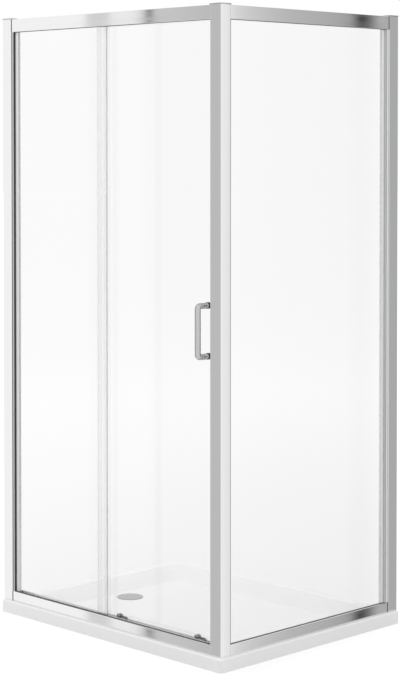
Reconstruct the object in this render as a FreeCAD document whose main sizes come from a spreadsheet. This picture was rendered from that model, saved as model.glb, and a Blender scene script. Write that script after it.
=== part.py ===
"""Corner shower enclosure with a sliding door, on a low acrylic tray.

Axes: +X runs along the front from the left wall towards the corner post, +Y runs
from the front to the back wall, +Z is up. The origin is the middle of the tray's
underside. All lengths are in millimetres.

The enclosure stands in a room corner: the left wall is at -X and the back wall at +Y.
A depth behind a visible face is measured from the front plane of the frame towards +Y,
and for the side panel from the side plane of the frame towards -X.
"""

import FreeCAD, Part
import math
import os
import Sketcher

SIZES = [
    # the tray
    ("tray_width", 1000, "tray along the front"),
    ("tray_depth", 800, "tray from the front to the back wall"),
    ("tray_height", 40, "floor to the top of the tray's rim"),
    ("tray_corner", 10, "radius of the tray's upright corners"),
    ("tray_edge", 5, "rounding of the rim's outer edge"),
    ("rim_outer", 64, "rim under the frame, at the front and the right"),
    ("rim_wall", 38, "rim along the two walls"),
    ("bank_outer", 58, "run of the sloped bank at the front and the right"),
    ("bank_wall", 82, "run of the sloped bank along the walls"),
    ("basin_corner", 70, "corner radius of the basin at the rim"),
    ("floor_corner", 56, "corner radius of the basin at its floor"),
    ("basin_floor", 9, "height of the basin's floor"),
    ("bank_rounding", 12, "rounding between rim, bank and floor"),
    ("support_inset", 14, "tray edge to the support board"),
    ("support_thick", 4, "support board under the tray"),
    ("support_gap", 0.3, "bond line round the support board"),
    ("waste_from_wall", 182, "left edge of the tray to the waste"),
    ("waste_cover_size", 85, "diameter of the waste cover"),
    ("waste_recess_gap", 1, "waste cover to its recess, all round"),
    ("waste_recess_depth", 4.5, "recess that the waste flange lies in"),
    ("waste_boss_wall", 7, "solid ring round the waste, under the tray"),
    ("waste_bore", 62, "hole through the tray for the waste trap"),
    ("waste_gasket_thick", 1, "gasket under the waste flange"),
    ("waste_flange_size", 83, "diameter of the waste flange"),
    ("waste_flange_thick", 1.5, "waste flange in its recess"),
    ("waste_sleeve_gap", 0.5, "sleeve of the waste flange to its hole, all round"),
    ("waste_sleeve_wall", 2, "wall of the sleeve"),
    ("waste_cover_thick", 2.4, "waste cover"),
    ("waste_cover_bevel", 0.8, "bevel of the cover's top edge"),
    ("waste_cover_gap", 1.6, "water gap between flange and cover"),
    ("waste_ring_size", 54, "stiffening ring under the cover"),
    ("waste_ring_wall", 2, "wall of the stiffening ring"),
    ("waste_ring_drop", 1.4, "stiffening ring below the cover"),
    ("waste_foot_size", 5, "foot that the cover stands on"),
    ("waste_foot_circle", 70, "diameter of the circle of feet"),
    # the frame
    ("frame_inset", 12, "tray edge to the visible face of the frame"),
    ("frame_height", 1870, "rim of the tray to the top of the rails"),
    ("profile_wall", 1.6, "wall of the aluminium extrusions"),
    ("profile_round", 1.2, "rounding of the extrusions' outer corners"),
    ("post_width", 44, "corner post across the front"),
    ("post_depth", 39, "corner post along the side"),
    ("post_pocket", 18, "depth of the door's pocket in the post"),
    ("post_pocket_width", 15, "width of the door's pocket in the post"),
    ("post_lobe", 22, "width of the post's rear lobe"),
    ("wall_profile_width", 42, "wall profile across its visible face"),
    ("wall_profile_depth", 24, "wall profile behind its visible face"),
    ("wall_web", 2, "web of the wall profile on the wall"),
    ("jamb_start", 12, "wall to the jamb, the room for adjusting it"),
    ("jamb_clearance", 0.3, "gap between jamb and wall profile"),
    ("jamb_front_lip", 10, "front lip of the jamb past the wall profile"),
    ("jamb_rear_lip", 22, "rear lip of the jamb past the wall profile"),
    ("top_rail_face", 41, "visible height of the top rails"),
    ("bottom_rail_face", 31, "visible height of the bottom rails"),
    ("rail_depth", 46, "front rails from face to back"),
    ("rail_box", 17, "closed box of a rail behind its face"),
    ("slot_depth", 16, "glass slot in a rail"),
    ("end_plate", 2, "plastic plate at a rail's wall end"),
    ("post_slot_depth", 12, "slot for the side glass in the post"),
    ("track_lip", 2, "lip of the top track"),
    ("track_lip_reach", 9.2, "width of the top track's lip"),
    ("bead_width", 2.6, "bead that the wheels run on"),
    ("bead_height", 1.5, "bead above the top track's lip"),
    ("track_drop", 37, "underside of the top track below the rail's top"),
    ("bottom_bead_height", 12, "bead of the bottom track above the rim"),
    ("rear_dam", 26, "rear upstand of the bottom rail"),
    ("drain_slot_length", 24, "drain slot in the bottom rail's rear upstand"),
    ("drain_slot_height", 4, "height of a drain slot"),
    ("drain_slot_spacing", 280, "spacing of the drain slots"),
    ("port_boss", 6.8, "screw port boss in an extrusion"),
    ("port_bore", 3.8, "bore of a screw port"),
    ("rail_screw_size", 3.5, "rail screw shank"),
    ("rail_screw_head", 6.8, "rail screw head"),
    ("rail_screw_length", 26, "rail screw below its head"),
    ("post_screw_length", 34, "screw through the post into a side rail"),
    ("screw_head_height", 2.2, "height of a screw head"),
    ("jamb_screw_size", 3.5, "jamb screw shank"),
    ("jamb_screw_head", 7, "jamb screw head"),
    ("jamb_screw_length", 6, "jamb screw below its head"),
    ("jamb_screw_spacing", 780, "spacing of the jamb screws"),
    ("fit_gap", 0.05, "pin in its own hole, all round"),
    ("wall_hole", 5.5, "hole in the wall profile for a wall screw"),
    ("wall_hole_spacing", 800, "spacing of the wall screws"),
    ("cap_thick", 4, "end caps on the uprights"),
    ("cap_overhang", 2, "overhang of the end caps"),
    ("cap_bevel", 1, "bevel of a cap's top edge"),
    # the glass and its seals
    ("glass_thick", 5, "toughened glass"),
    ("fixed_setback", 8, "frame face to the fixed glass"),
    ("door_setback", 27, "frame face to the door glass"),
    ("slot_clearance", 1.5, "gasket between glass and slot"),
    ("glass_end_gap", 2, "end of a glass slot to the glass"),
    ("fixed_panel_width", 489.5, "left wall to the free edge of the fixed glass"),
    ("door_overlap", 59, "door glass behind the fixed glass"),
    ("door_into_post", 8, "door glass into the post's pocket"),
    ("door_glass_drop", 6, "top of the rail to the top of the door glass"),
    ("door_glass_rise", 16, "rim of the tray to the bottom of the door glass"),
    ("gasket_lip", 3, "gasket showing past a jamb"),
    ("gasket_bead", 3.5, "front of the gasket's bead before the slot"),
    ("gasket_edge", 1, "gasket showing past a rail"),
    ("gasket_rear_leg", 4, "gasket behind the upright edge of the glass"),
    ("glass_plate_gap", 0.3, "end plate of a rail to the edge of the glass"),
    ("seal_wall", 1.2, "wall of the clear edge seals"),
    ("fixed_seal_grip", 13.8, "grip of the seal on the fixed glass"),
    ("fixed_seal_gap", 3.2, "fin of the fixed seal to the door glass"),
    ("trailing_seal_grip", 20.4, "grip of the seal on the door's trailing edge"),
    ("trailing_seal_bulb", 3.6, "bulb of the trailing seal before the glass"),
    ("magnet_seal_grip", 6, "grip of the magnet seal on the door"),
    ("magnet_width", 9, "magnet strips, across"),
    ("post_magnet_thick", 2.4, "magnet strip in the post"),
    ("magnet_gap", 0.4, "gap between the magnets, door closed"),
    ("bottom_seal_grip", 8, "drip seal's legs on the door glass"),
    ("bottom_seal_wall", 0.8, "wall of the drip seal"),
    ("bottom_seal_fin", 8, "drip seal's fin below the glass"),
    # the door's running gear
    ("stop_from_plate", 35, "end plate of the top rail to the left stop"),
    ("stop_length", 20, "rubber stop in the top track"),
    ("stop_height", 15, "height of a rubber stop"),
    ("stop_gap", 0.5, "wheel to stop at the end of the travel"),
    ("stop_inset", 1, "edge of the top track's lip to a rubber stop"),
    ("wheel_gap", 0.3, "wheel to bead"),
    ("wheel_width", 4.8, "width of a wheel"),
    ("wheel_offset", 37.8, "frame face to the front of a wheel"),
    ("wheel_groove", 3.2, "groove of a wheel, across"),
    ("wheel_flange", 1, "flange of a wheel past its groove"),
    ("top_wheel_size", 22, "top wheel, at the bottom of its groove"),
    ("bottom_wheel_size", 16, "bottom wheel, at the bottom of its groove"),
    ("wheel_pitch", 38, "distance between the two wheels of a bracket"),
    ("top_roller_inset", 80, "edge of the door glass to a top bracket"),
    ("bracket_width", 54, "top bracket along the rail"),
    ("bracket_thick", 4, "top bracket plate"),
    ("bracket_top", 9, "top of the rail to the top of the bracket"),
    ("bracket_bottom", 35.5, "top of the rail to the bottom of the bracket"),
    ("bracket_round", 6, "corner radius of the bracket plate"),
    ("clamp_drop", 28.5, "top of the rail to the clamp bolt"),
    ("clamp_size", 18, "clamp disc on the front of the door glass"),
    ("clamp_thick", 2.5, "thickness of the clamp disc"),
    ("clamp_bolt_size", 6, "clamp bolt"),
    ("adjuster_size", 11.4, "eccentric bush in the door glass"),
    ("adjuster_offset", 1.2, "offset of the bush's bore"),
    ("glass_hole_gap", 0.3, "round fitting to its hole in the glass"),
    ("axle_size", 6, "top wheel axle"),
    ("axle_shoulder", 9, "shoulder of a top axle"),
    ("axle_gap", 0.3, "axle to wheel"),
    ("axle_end_play", 0.3, "wheel to the shoulder and head of its axle"),
    ("axle_head_thick", 1.1, "head of a wheel axle"),
    ("axle_head_size", 9, "head of a top axle"),
    ("bottom_axle_size", 4, "bottom wheel axle"),
    ("bottom_axle_shoulder", 7, "shoulder and head of a bottom axle"),
    ("bottom_roller_inset", 91.5, "edge of the door glass to a bottom pivot"),
    ("pivot_height", 32.5, "rim of the tray to the bottom pivot"),
    ("pivot_cap_size", 15, "round cap of the pivot"),
    ("pivot_cap_thick", 2.5, "thickness of the pivot's cap"),
    ("pivot_size", 6, "pivot pin"),
    ("pivot_hole", 7, "hole in the door glass for the pivot"),
    ("pivot_head_size", 10, "collar and rear head of the pivot"),
    ("pivot_head_thick", 1, "rear head of the pivot"),
    ("arm_thick", 3, "sprung arm"),
    ("arm_glass_gap", 1.2, "door glass to the arm"),
    ("arm_hub", 14, "hub of the arm"),
    ("arm_beam", 5, "beam of the arm, high"),
    ("arm_rise", 2, "pivot to the top of the beam"),
    ("arm_leg", 7, "leg of the arm that holds the wheel"),
    ("arm_reach", 29.5, "pivot to the bottom wheel's axle"),
    ("spring_wire", 1, "wire of the torsion spring"),
    ("spring_coil", 5.5, "coil of the torsion spring along the pivot"),
    ("spring_gap", 0.5, "spring to the pivot pin and to the arm"),
    ("spring_leg", 9, "leg of the torsion spring"),
    # the handle
    ("handle_from_post", 31, "post to the handle's axis"),
    ("handle_bar", 17, "diameter of the handle's bar"),
    ("handle_length", 164, "handle, end to end"),
    ("handle_reach", 46, "door glass to the bar's axis"),
    ("handle_bend", 9, "bend radius of the bar's axis"),
    ("handle_middle", 933, "rim of the tray to the middle of the handle"),
    ("collar_size", 19, "collar between handle and glass"),
    ("collar_thick", 3, "thickness of a collar"),
    ("handle_bolt_size", 6, "bolt into the end of the bar"),
    ("handle_bolt_depth", 14, "bolt into the bar"),
    ("handle_hole", 8, "hole in the door glass for a handle bolt"),
    ("handle_knob_size", 17, "bolt head on the inside"),
    ("handle_knob_thick", 7, "thickness of the bolt head"),
]

document = FreeCAD.newDocument("shower_enclosure")


class Size:
    """A length, as the text that ties it to the sheet and as its present value."""

    def __init__(self, text, value):
        self.text = text
        self.value = value

    def __add__(self, other):
        other = as_size(other)
        return Size(f"({self.text} + {other.text})", self.value + other.value)

    def __sub__(self, other):
        other = as_size(other)
        return Size(f"({self.text} - {other.text})", self.value - other.value)

    def __mul__(self, factor):
        return Size(f"({self.text} * {factor})", self.value * factor)

    def __truediv__(self, divisor):
        return Size(f"({self.text} / {divisor})", self.value / divisor)

    def __neg__(self):
        return Size(f"(0 - {self.text})", -self.value)


def as_size(number):
    """A plain number, such as 0, in the form that the helpers below take."""
    return number if isinstance(number, Size) else Size(f"{number}", number)


class Sheet:
    """The spreadsheet of driving dimensions, with each size as an attribute."""

    def __init__(self, rows):
        cells = document.addObject("Spreadsheet::Sheet", "Sizes")
        for row, (name, value, meaning) in enumerate(rows, start=1):
            cells.set(f"A{row}", name)
            cells.set(f"B{row}", str(value))
            cells.set(f"C{row}", meaning)
            cells.setAlias(f"B{row}", name)
            setattr(self, name, Size(f"Sizes.{name}", value))
        document.recompute()


size = Sheet(SIZES)


# ---------------------------------------------------------------- building blocks

# the role of a body's origin plane, and the sign of its normal along the axis
PLANES = {"XY": ("XY_Plane", 1), "YZ": ("YZ_Plane", 1), "XZ": ("XZ_Plane", -1)}
CUTTING = ("PartDesign::Pocket", "PartDesign::SubtractiveLoft")

sub_parts = []


def bind(thing, path, length):
    """Tie one property to the sheet."""
    thing.setExpression(path, as_size(length).text)


def new_body(label, listed=True):
    """A body of sketches and features: a sub-part, or a piece of one if not listed."""
    body = document.addObject("PartDesign::Body", label)
    body.Label = label
    if listed:
        sub_parts.append(body)
    return body


def new_sketch(body, plane, height=0):
    """A sketch on one of the body's own origin planes, moved along its normal."""
    role, sign = PLANES[plane]
    sketch = body.newObject("Sketcher::SketchObject", "Sketch")
    support = next(f for f in body.Origin.OriginFeatures if f.Role == role)
    sketch.AttachmentSupport = [(support, "")]
    sketch.MapMode = "FlatFace"
    bind(sketch, "AttachmentOffset.Base.z", as_size(height) * sign)
    return sketch


def fix_point(sketch, constraints, ties, geometry, end, u, v):
    """Hold one point of a sketch at (u, v) from the sketch's origin."""
    for kind, length in (("DistanceX", u), ("DistanceY", v)):
        ties.append((len(constraints), length.text))
        constraints.append(Sketcher.Constraint(kind, -1, 1, geometry, end, length.value))


def unit_step(start, end):
    """The direction of a side that runs along one axis."""
    du, dv = end[0].value - start[0].value, end[1].value - start[1].value
    length = math.hypot(du, dv)
    return round(du / length), round(dv / length)


def draw(sketch, corners, closed=True):
    """Draw an outline. A corner is (u, v), or (u, v, radius) between square sides."""
    corners = [tuple(as_size(part) for part in corner) for corner in corners]
    steps = []
    for index, corner in enumerate(corners):
        u, v = corner[:2]
        if len(corner) == 2:
            steps.append((u, v, None))
            continue
        radius = corner[2]
        back = unit_step(corner, corners[index - 1])
        ahead = unit_step(corner, corners[(index + 1) % len(corners)])
        first = (u + radius * back[0], v + radius * back[1])
        last = (u + radius * ahead[0], v + radius * ahead[1])
        bow = radius.value * (1 - math.sqrt(0.5))
        middle = (u.value + bow * (back[0] + ahead[0]), v.value + bow * (back[1] + ahead[1]))
        steps.append((*first, (radius, middle)))
        steps.append((*last, None))
    constraints, ties, starts, ends = [], [], [], []
    count = len(steps) if closed else len(steps) - 1
    for index in range(count):
        u, v, arc = steps[index]
        next_u, next_v, _ = steps[(index + 1) % len(steps)]
        start = FreeCAD.Vector(u.value, v.value, 0)
        end = FreeCAD.Vector(next_u.value, next_v.value, 0)
        if arc is None:
            geometry = sketch.addGeometry(Part.LineSegment(start, end), False)
        else:
            middle = FreeCAD.Vector(*arc[1], 0)
            geometry = sketch.addGeometry(Part.Arc(start, middle, end), False)
        turned = sketch.getPoint(geometry, 1).distanceToPoint(start) > 1e-6
        starts.append((geometry, 2 if turned else 1))
        ends.append((geometry, 1 if turned else 2))
        fix_point(sketch, constraints, ties, *starts[-1], u, v)
        if arc is not None:
            ties.append((len(constraints), arc[0].text))
            constraints.append(Sketcher.Constraint("Radius", geometry, arc[0].value))
    for index in range(count if closed else count - 1):
        constraints.append(
            Sketcher.Constraint("Coincident", *ends[index], *starts[(index + 1) % count])
        )
    if not closed:
        last_u, last_v, _ = steps[-1]
        fix_point(sketch, constraints, ties, *ends[-1], last_u, last_v)
    settle(sketch, constraints, ties)


def draw_circle(sketch, u, v, diameter):
    """Draw a circle about (u, v)."""
    u, v, diameter = as_size(u), as_size(v), as_size(diameter)
    centre = FreeCAD.Vector(u.value, v.value, 0)
    circle = Part.Circle(centre, FreeCAD.Vector(0, 0, 1), diameter.value / 2)
    geometry = sketch.addGeometry(circle, False)
    constraints, ties = [], []
    fix_point(sketch, constraints, ties, geometry, 3, u, v)
    ties.append((len(constraints), diameter.text))
    constraints.append(Sketcher.Constraint("Diameter", geometry, diameter.value))
    settle(sketch, constraints, ties)


def settle(sketch, constraints, ties):
    """Add the constraints in one go, then tie each length to the sheet."""
    first = sketch.ConstraintCount
    sketch.addConstraint(constraints)
    for index, text in ties:
        sketch.setExpression(f"Constraints[{first + index}]", text)


def rectangle(u, v, radius=None):
    """The corners of a rectangle between two pairs of limits."""
    corners = [(u[0], v[0]), (u[1], v[0]), (u[1], v[1]), (u[0], v[1])]
    return [corner + (radius,) for corner in corners] if radius else corners


def fill_sketch(sketch, loops):
    """Draw outlines and circles; a circle is ("circle", u, v, diameter)."""
    for loop in loops:
        if loop[0] == "circle":
            draw_circle(sketch, *loop[1:])
        else:
            draw(sketch, loop)


def pad(body, plane, loops, low, high):
    """Add material between two heights along the plane's axis."""
    low, high = as_size(low), as_size(high)
    sketch = new_sketch(body, plane, high if plane == "XZ" else low)
    fill_sketch(sketch, loops)
    feature = body.newObject("PartDesign::Pad", "Pad")
    feature.Profile = sketch
    bind(feature, "Length", high - low)
    return feature


def pocket(body, plane, loops, low, high):
    """Take material away between two heights along the plane's axis."""
    low, high = as_size(low), as_size(high)
    sketch = new_sketch(body, plane, low if plane == "XZ" else high)
    fill_sketch(sketch, loops)
    feature = body.newObject("PartDesign::Pocket", "Pocket")
    feature.Profile = sketch
    bind(feature, "Length", high - low)
    return feature


def repeat(body, feature, plane_axis, spacing, count):
    """Repeat a feature along one of the body's axes."""
    pattern = body.newObject("PartDesign::LinearPattern", "LinearPattern")
    pattern.Originals = [feature]
    axis = next(f for f in body.Origin.OriginFeatures if f.Role == plane_axis)
    pattern.Direction = (axis, [""])
    pattern.Occurrences = count
    bind(pattern, "Length", as_size(spacing) * (count - 1))
    body.Tip = pattern
    return pattern


def find_edges(body, wanted):
    """The edges of the body's last feature for which wanted(edge) holds."""
    document.recompute()
    base = body.Tip
    names = [f"Edge{n}" for n, edge in enumerate(base.Shape.Edges, start=1) if wanted(edge)]
    if not names:
        raise RuntimeError(f"{body.Label}: no edge to round or bevel")
    return base, names


def round_edges(body, radius, wanted):
    """Round the edges of the body's last feature for which wanted(edge) holds."""
    edges = find_edges(body, wanted)
    feature = body.newObject("PartDesign::Fillet", "Fillet")
    feature.Base = edges
    bind(feature, "Radius", radius)


def bevel_edges(body, width, wanted):
    """Bevel the edges of the body's last feature for which wanted(edge) holds."""
    edges = find_edges(body, wanted)
    feature = body.newObject("PartDesign::Chamfer", "Chamfer")
    feature.Base = edges
    bind(feature, "Size", width)


def turned(label, outline, place, listed=True):
    """A round piece on an axis along Y. The outline is pairs of radius and depth."""
    body = new_body(label, listed)
    sketch = new_sketch(body, "XY")
    draw(sketch, outline)
    feature = body.newObject("PartDesign::Revolution", "Revolution")
    feature.Profile = sketch
    feature.ReferenceAxis = (sketch, ["V_Axis"])
    feature.Angle = 360
    put(body, place)
    return body


def put(thing, place):
    """Place a sub-part, tied to the sheet."""
    for axis, length in zip("xyz", place):
        bind(thing, f"Placement.Base.{axis}", length)


def rod(label, axis, diameter, start, length):
    """A plain round rod along +X, +Y or +Z from a start point."""
    solid = document.addObject("Part::Cylinder", label)
    bind(solid, "Radius", as_size(diameter) / 2)
    bind(solid, "Height", length)
    turns = {
        "X": FreeCAD.Rotation(FreeCAD.Vector(0, 1, 0), 90),
        "Y": FreeCAD.Rotation(FreeCAD.Vector(1, 0, 0), -90),
        "Z": FreeCAD.Rotation(),
    }
    solid.Placement = FreeCAD.Placement(FreeCAD.Vector(), turns[axis])
    put(solid, start)
    return solid


def joined(label, pieces):
    """Several solids fused where they meet."""
    whole = document.addObject("Part::MultiFuse", label)
    whole.Shapes = pieces
    whole.Refine = True
    return whole


def grouped(label, pieces):
    """Several separate solids that make up one sub-part."""
    group = document.addObject("Part::Compound", label)
    group.Links = pieces
    group.Label = label
    sub_parts.append(group)


# ------------------------------------------------------------------- shared places

half_width = size.tray_width / 2
half_depth = size.tray_depth / 2
left_wall = -half_width
back_wall = half_depth
front_face = size.frame_inset - half_depth
side_face = half_width - size.frame_inset
rim = size.tray_height
rail_top = rim + size.frame_height
top_rail_under = rail_top - size.top_rail_face
bottom_rail_over = rim + size.bottom_rail_face

post_left = side_face - size.post_width
post_back = front_face + size.post_depth
rail_left = left_wall + size.wall_profile_width + size.end_plate
side_rail_end = back_wall - size.wall_profile_width - size.end_plate

slot_front = size.fixed_setback - size.slot_clearance
slot_back = size.fixed_setback + size.glass_thick + size.slot_clearance
jamb_glass = size.wall_profile_width + size.end_plate + size.glass_plate_gap

fixed_front = front_face + size.fixed_setback
fixed_back = fixed_front + size.glass_thick
door_front = front_face + size.door_setback
door_back = door_front + size.glass_thick
fixed_edge = left_wall + size.fixed_panel_width
door_left = fixed_edge - size.door_overlap
door_right = post_left + size.door_into_post
door_top = rail_top - size.door_glass_drop
door_bottom = rim + size.door_glass_rise
side_glass_outer = side_face - size.fixed_setback
side_glass_inner = side_glass_outer - size.glass_thick
glass_top = top_rail_under + size.slot_depth - size.glass_end_gap
glass_bottom = bottom_rail_over - size.slot_depth + size.glass_end_gap

pocket_front = door_front - (size.post_pocket_width - size.glass_thick) / 2
pocket_back = pocket_front + size.post_pocket_width
pocket_end = post_left + size.post_pocket

# the screw ports of a rail, as depth behind its face and distance from its outer edge
port_depth = size.rail_box - size.profile_wall - size.port_boss / 2
port_level = size.profile_wall + size.port_boss / 2
second_port_level = size.top_rail_face - size.slot_depth - port_level

# the running gear
bead_middle = size.wheel_offset + size.wheel_width / 2
top_bead_level = size.track_drop - size.track_lip - size.bead_height
top_axle_level = rail_top - top_bead_level + size.wheel_gap + size.top_wheel_size / 2
bottom_axle_level = (
    rim + size.bottom_bead_height + size.wheel_gap + size.bottom_wheel_size / 2
)
wheel_front = front_face + size.wheel_offset
bracket_front = door_back
bracket_back = door_back + size.bracket_thick
clamp_level = rail_top - size.clamp_drop
adjuster_level = clamp_level + size.adjuster_offset
pivot_level = rim + size.pivot_height
arm_front = door_back + size.arm_glass_gap
arm_back = arm_front + size.arm_thick
top_roller_x = {
    "left": door_left + size.top_roller_inset,
    "right": door_right - size.top_roller_inset,
}
bottom_roller_x = {
    "left": door_left + size.bottom_roller_inset,
    "right": door_right - size.bottom_roller_inset,
}

# the handle
handle_x = post_left - size.handle_from_post
handle_level = rim + size.handle_middle
arm_spacing = size.handle_length - size.handle_bar
arm_levels = [handle_level - arm_spacing / 2, handle_level + arm_spacing / 2]

waste_x = left_wall + size.waste_from_wall


# ------------------------------------------------------------------------ the tray


def basin_outline(inset_outer, inset_wall, radius):
    """A rounded rectangle inside the tray, set in from its outer and wall edges."""
    across = (left_wall + inset_wall, half_width - inset_outer)
    along = (-half_depth + inset_outer, back_wall - inset_wall)
    return rectangle(across, along, radius)


def is_level(edge, height):
    """Whether an edge lies flat at one height."""
    box = edge.BoundBox
    return abs(box.ZMin - height) < 0.01 and abs(box.ZMax - height) < 0.01


def reaches_side(edge):
    """Whether an edge runs along the outside of the tray."""
    box = edge.BoundBox
    strip = (size.tray_corner + size.tray_edge).value
    width, depth = half_width.value - strip, half_depth.value - strip
    return max(abs(box.XMin), abs(box.XMax)) > width or max(abs(box.YMin), abs(box.YMax)) > depth


def make_tray():
    """The acrylic tray: a low slab with a wide, softly banked basin."""
    tray = new_body("shower_tray")
    across, along = (left_wall, half_width), (-half_depth, half_depth)
    pad(tray, "XY", [rectangle(across, along, size.tray_corner)], 0, rim)
    upper = new_sketch(tray, "XY", rim)
    draw(upper, basin_outline(size.rim_outer, size.rim_wall, size.basin_corner))
    lower = new_sketch(tray, "XY", size.basin_floor)
    floor_outer = size.rim_outer + size.bank_outer
    floor_wall = size.rim_wall + size.bank_wall
    draw(lower, basin_outline(floor_outer, floor_wall, size.floor_corner))
    basin = tray.newObject("PartDesign::SubtractiveLoft", "SubtractiveLoft")
    basin.Profile = upper
    basin.Sections = [lower]
    basin.Ruled = True
    round_edges(
        tray,
        size.bank_rounding,
        lambda edge: is_level(edge, size.basin_floor.value)
        or (is_level(edge, rim.value) and not reaches_side(edge)),
    )
    round_edges(
        tray, size.tray_edge, lambda edge: is_level(edge, rim.value) and reaches_side(edge)
    )
    recess = [("circle", waste_x, 0, size.waste_cover_size + size.waste_recess_gap * 2)]
    pocket(tray, "XY", recess, size.basin_floor - size.waste_recess_depth, rim)
    pocket(tray, "XY", [("circle", waste_x, 0, size.waste_bore)], 0, rim)
    inset = size.support_inset
    under = rectangle(
        (left_wall + inset, half_width - inset), (inset - half_depth, half_depth - inset)
    )
    boss = size.waste_cover_size + size.waste_boss_wall * 2
    round_the_waste = ("circle", waste_x, 0, boss)
    pocket(tray, "XY", [under, round_the_waste], 0, size.support_thick)


def make_support():
    """The board bonded into the tray's underside, open round the waste."""
    board = new_body("tray_support")
    inset = size.support_inset + size.support_gap
    outline = rectangle(
        (left_wall + inset, half_width - inset), (inset - half_depth, half_depth - inset)
    )
    hole_width = size.waste_cover_size + size.waste_boss_wall * 2 + size.support_gap * 2
    hole = ("circle", waste_x, 0, hole_width)
    pad(board, "XY", [outline, hole], 0, size.support_thick)


def make_waste():
    """The flange and its gasket in the tray's recess, and the cover that lifts out."""
    seat = size.basin_floor - size.waste_recess_depth
    gasket = new_body("waste_gasket")
    ring = [("circle", 0, 0, size.waste_flange_size), ("circle", 0, 0, size.waste_bore)]
    pad(gasket, "XY", ring, 0, size.waste_gasket_thick)
    put(gasket, (waste_x, 0, seat))
    flange = new_body("waste_flange")
    flange_seat = seat + size.waste_gasket_thick
    sleeve_size = size.waste_bore - size.waste_sleeve_gap * 2
    inside = sleeve_size - size.waste_sleeve_wall * 2
    ring = [("circle", 0, 0, size.waste_flange_size), ("circle", 0, 0, inside)]
    pad(flange, "XY", ring, 0, size.waste_flange_thick)
    sleeve = [("circle", 0, 0, sleeve_size), ("circle", 0, 0, inside)]
    pad(flange, "XY", sleeve, -flange_seat, size.waste_flange_thick)
    put(flange, (waste_x, 0, flange_seat))
    cover = new_body("waste_cover")
    thick = size.waste_cover_thick
    pad(cover, "XY", [("circle", 0, 0, size.waste_cover_size)], 0, thick)
    bevel_edges(cover, size.waste_cover_bevel, lambda edge: is_level(edge, thick.value))
    ring_inside = size.waste_ring_size - size.waste_ring_wall * 2
    ring = [("circle", 0, 0, size.waste_ring_size), ("circle", 0, 0, ring_inside)]
    pad(cover, "XY", ring, -size.waste_ring_drop, thick / 2)
    foot = [("circle", 0, size.waste_foot_circle / 2, size.waste_foot_size)]
    first = pad(cover, "XY", foot, -size.waste_cover_gap, thick / 2)
    feet = cover.newObject("PartDesign::PolarPattern", "PolarPattern")
    feet.Originals = [first]
    axis = next(f for f in cover.Origin.OriginFeatures if f.Role == "Z_Axis")
    feet.Axis = (axis, [""])
    feet.Angle = 360
    feet.Occurrences = 3
    cover.Tip = feet
    put(cover, (waste_x, 0, flange_seat + size.waste_flange_thick + size.waste_cover_gap))


# ----------------------------------------------------------------------- the frame


def front_place(from_wall, behind_face):
    """A point of the front panel's plan, from the left wall and behind the face."""
    return (left_wall + from_wall, front_face + behind_face)


def side_place(from_wall, behind_face):
    """The same point of the side panel's plan, from the back wall."""
    return (side_face - behind_face, back_wall - from_wall)


def plan(place, corners):
    """Corners given from the wall and behind the face, as places in the plan."""
    return [place(*map(as_size, corner[:2])) + tuple(corner[2:]) for corner in corners]


def make_wall_profile(label, place, through):
    """The channel on the wall, with the holes for the wall screws."""
    profile = new_body(label)
    web, wall, depth = size.wall_web, size.profile_wall, size.wall_profile_depth
    width = size.wall_profile_width
    outline = [
        (0, 0),
        (width, 0, size.profile_round),
        (width, wall),
        (web, wall),
        (web, depth - wall),
        (width, depth - wall),
        (width, depth),
        (0, depth),
    ]
    pad(profile, "XY", [plan(place, outline)], rim, rail_top)
    middle = place(as_size(0), depth / 2)
    lowest = rim + size.frame_height / 2 - size.wall_hole_spacing
    if through == "YZ":
        hole = [("circle", middle[1], lowest, size.wall_hole)]
        cut = pocket(profile, "YZ", hole, left_wall, left_wall + web)
    else:
        hole = [("circle", middle[0], lowest, size.wall_hole)]
        cut = pocket(profile, "XZ", hole, back_wall - web, back_wall)
    repeat(profile, cut, "Z_Axis", size.wall_hole_spacing, 3)
    return profile


def drill(body, plane, row, levels, low, high):
    """Clearance holes for the screws, in one upright row."""
    pocket(body, plane, [("circle", row, level, size.port_bore) for level in levels], low, high)


def make_jamb(label, place):
    """The upright that slides in the wall profile and holds the glass."""
    jamb = new_body(label)
    wall = size.profile_wall
    start, width = size.jamb_start, size.wall_profile_width
    near = wall + size.jamb_clearance
    far = size.wall_profile_depth - near
    box = [(start, near), (width, near), (width, far), (start, far)]
    room = [
        (start + wall, near + wall),
        (width - wall, near + wall),
        (width - wall, far - wall),
        (start + wall, far - wall),
    ]
    pad(jamb, "XY", [plan(place, box), plan(place, room)], rim, rail_top)
    front_lip = width + size.jamb_front_lip
    rear_lip = width + size.jamb_rear_lip
    lips = [
        (width - wall, near),
        (front_lip, near),
        (front_lip, slot_front),
        (width, slot_front),
        (width, slot_back),
        (rear_lip, slot_back),
        (rear_lip, far),
        (width - wall, far),
    ]
    rear_room = [
        (width, slot_back + wall),
        (rear_lip - wall, slot_back + wall),
        (rear_lip - wall, far - wall),
        (width, far - wall),
    ]
    loops = [plan(place, lips), plan(place, rear_room)]
    pad(jamb, "XY", loops, bottom_rail_over, top_rail_under)
    return jamb


def upright_screw_levels():
    """The heights of the screws that hold a jamb in its wall profile."""
    middle = rim + size.frame_height / 2
    return [middle + size.jamb_screw_spacing * step for step in (-1, 0, 1)]


def rail_port_levels():
    """The heights of the rail screws: two in a top rail and one in a bottom rail."""
    return [rail_top - port_level, rail_top - second_port_level, rim + port_level]


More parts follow.
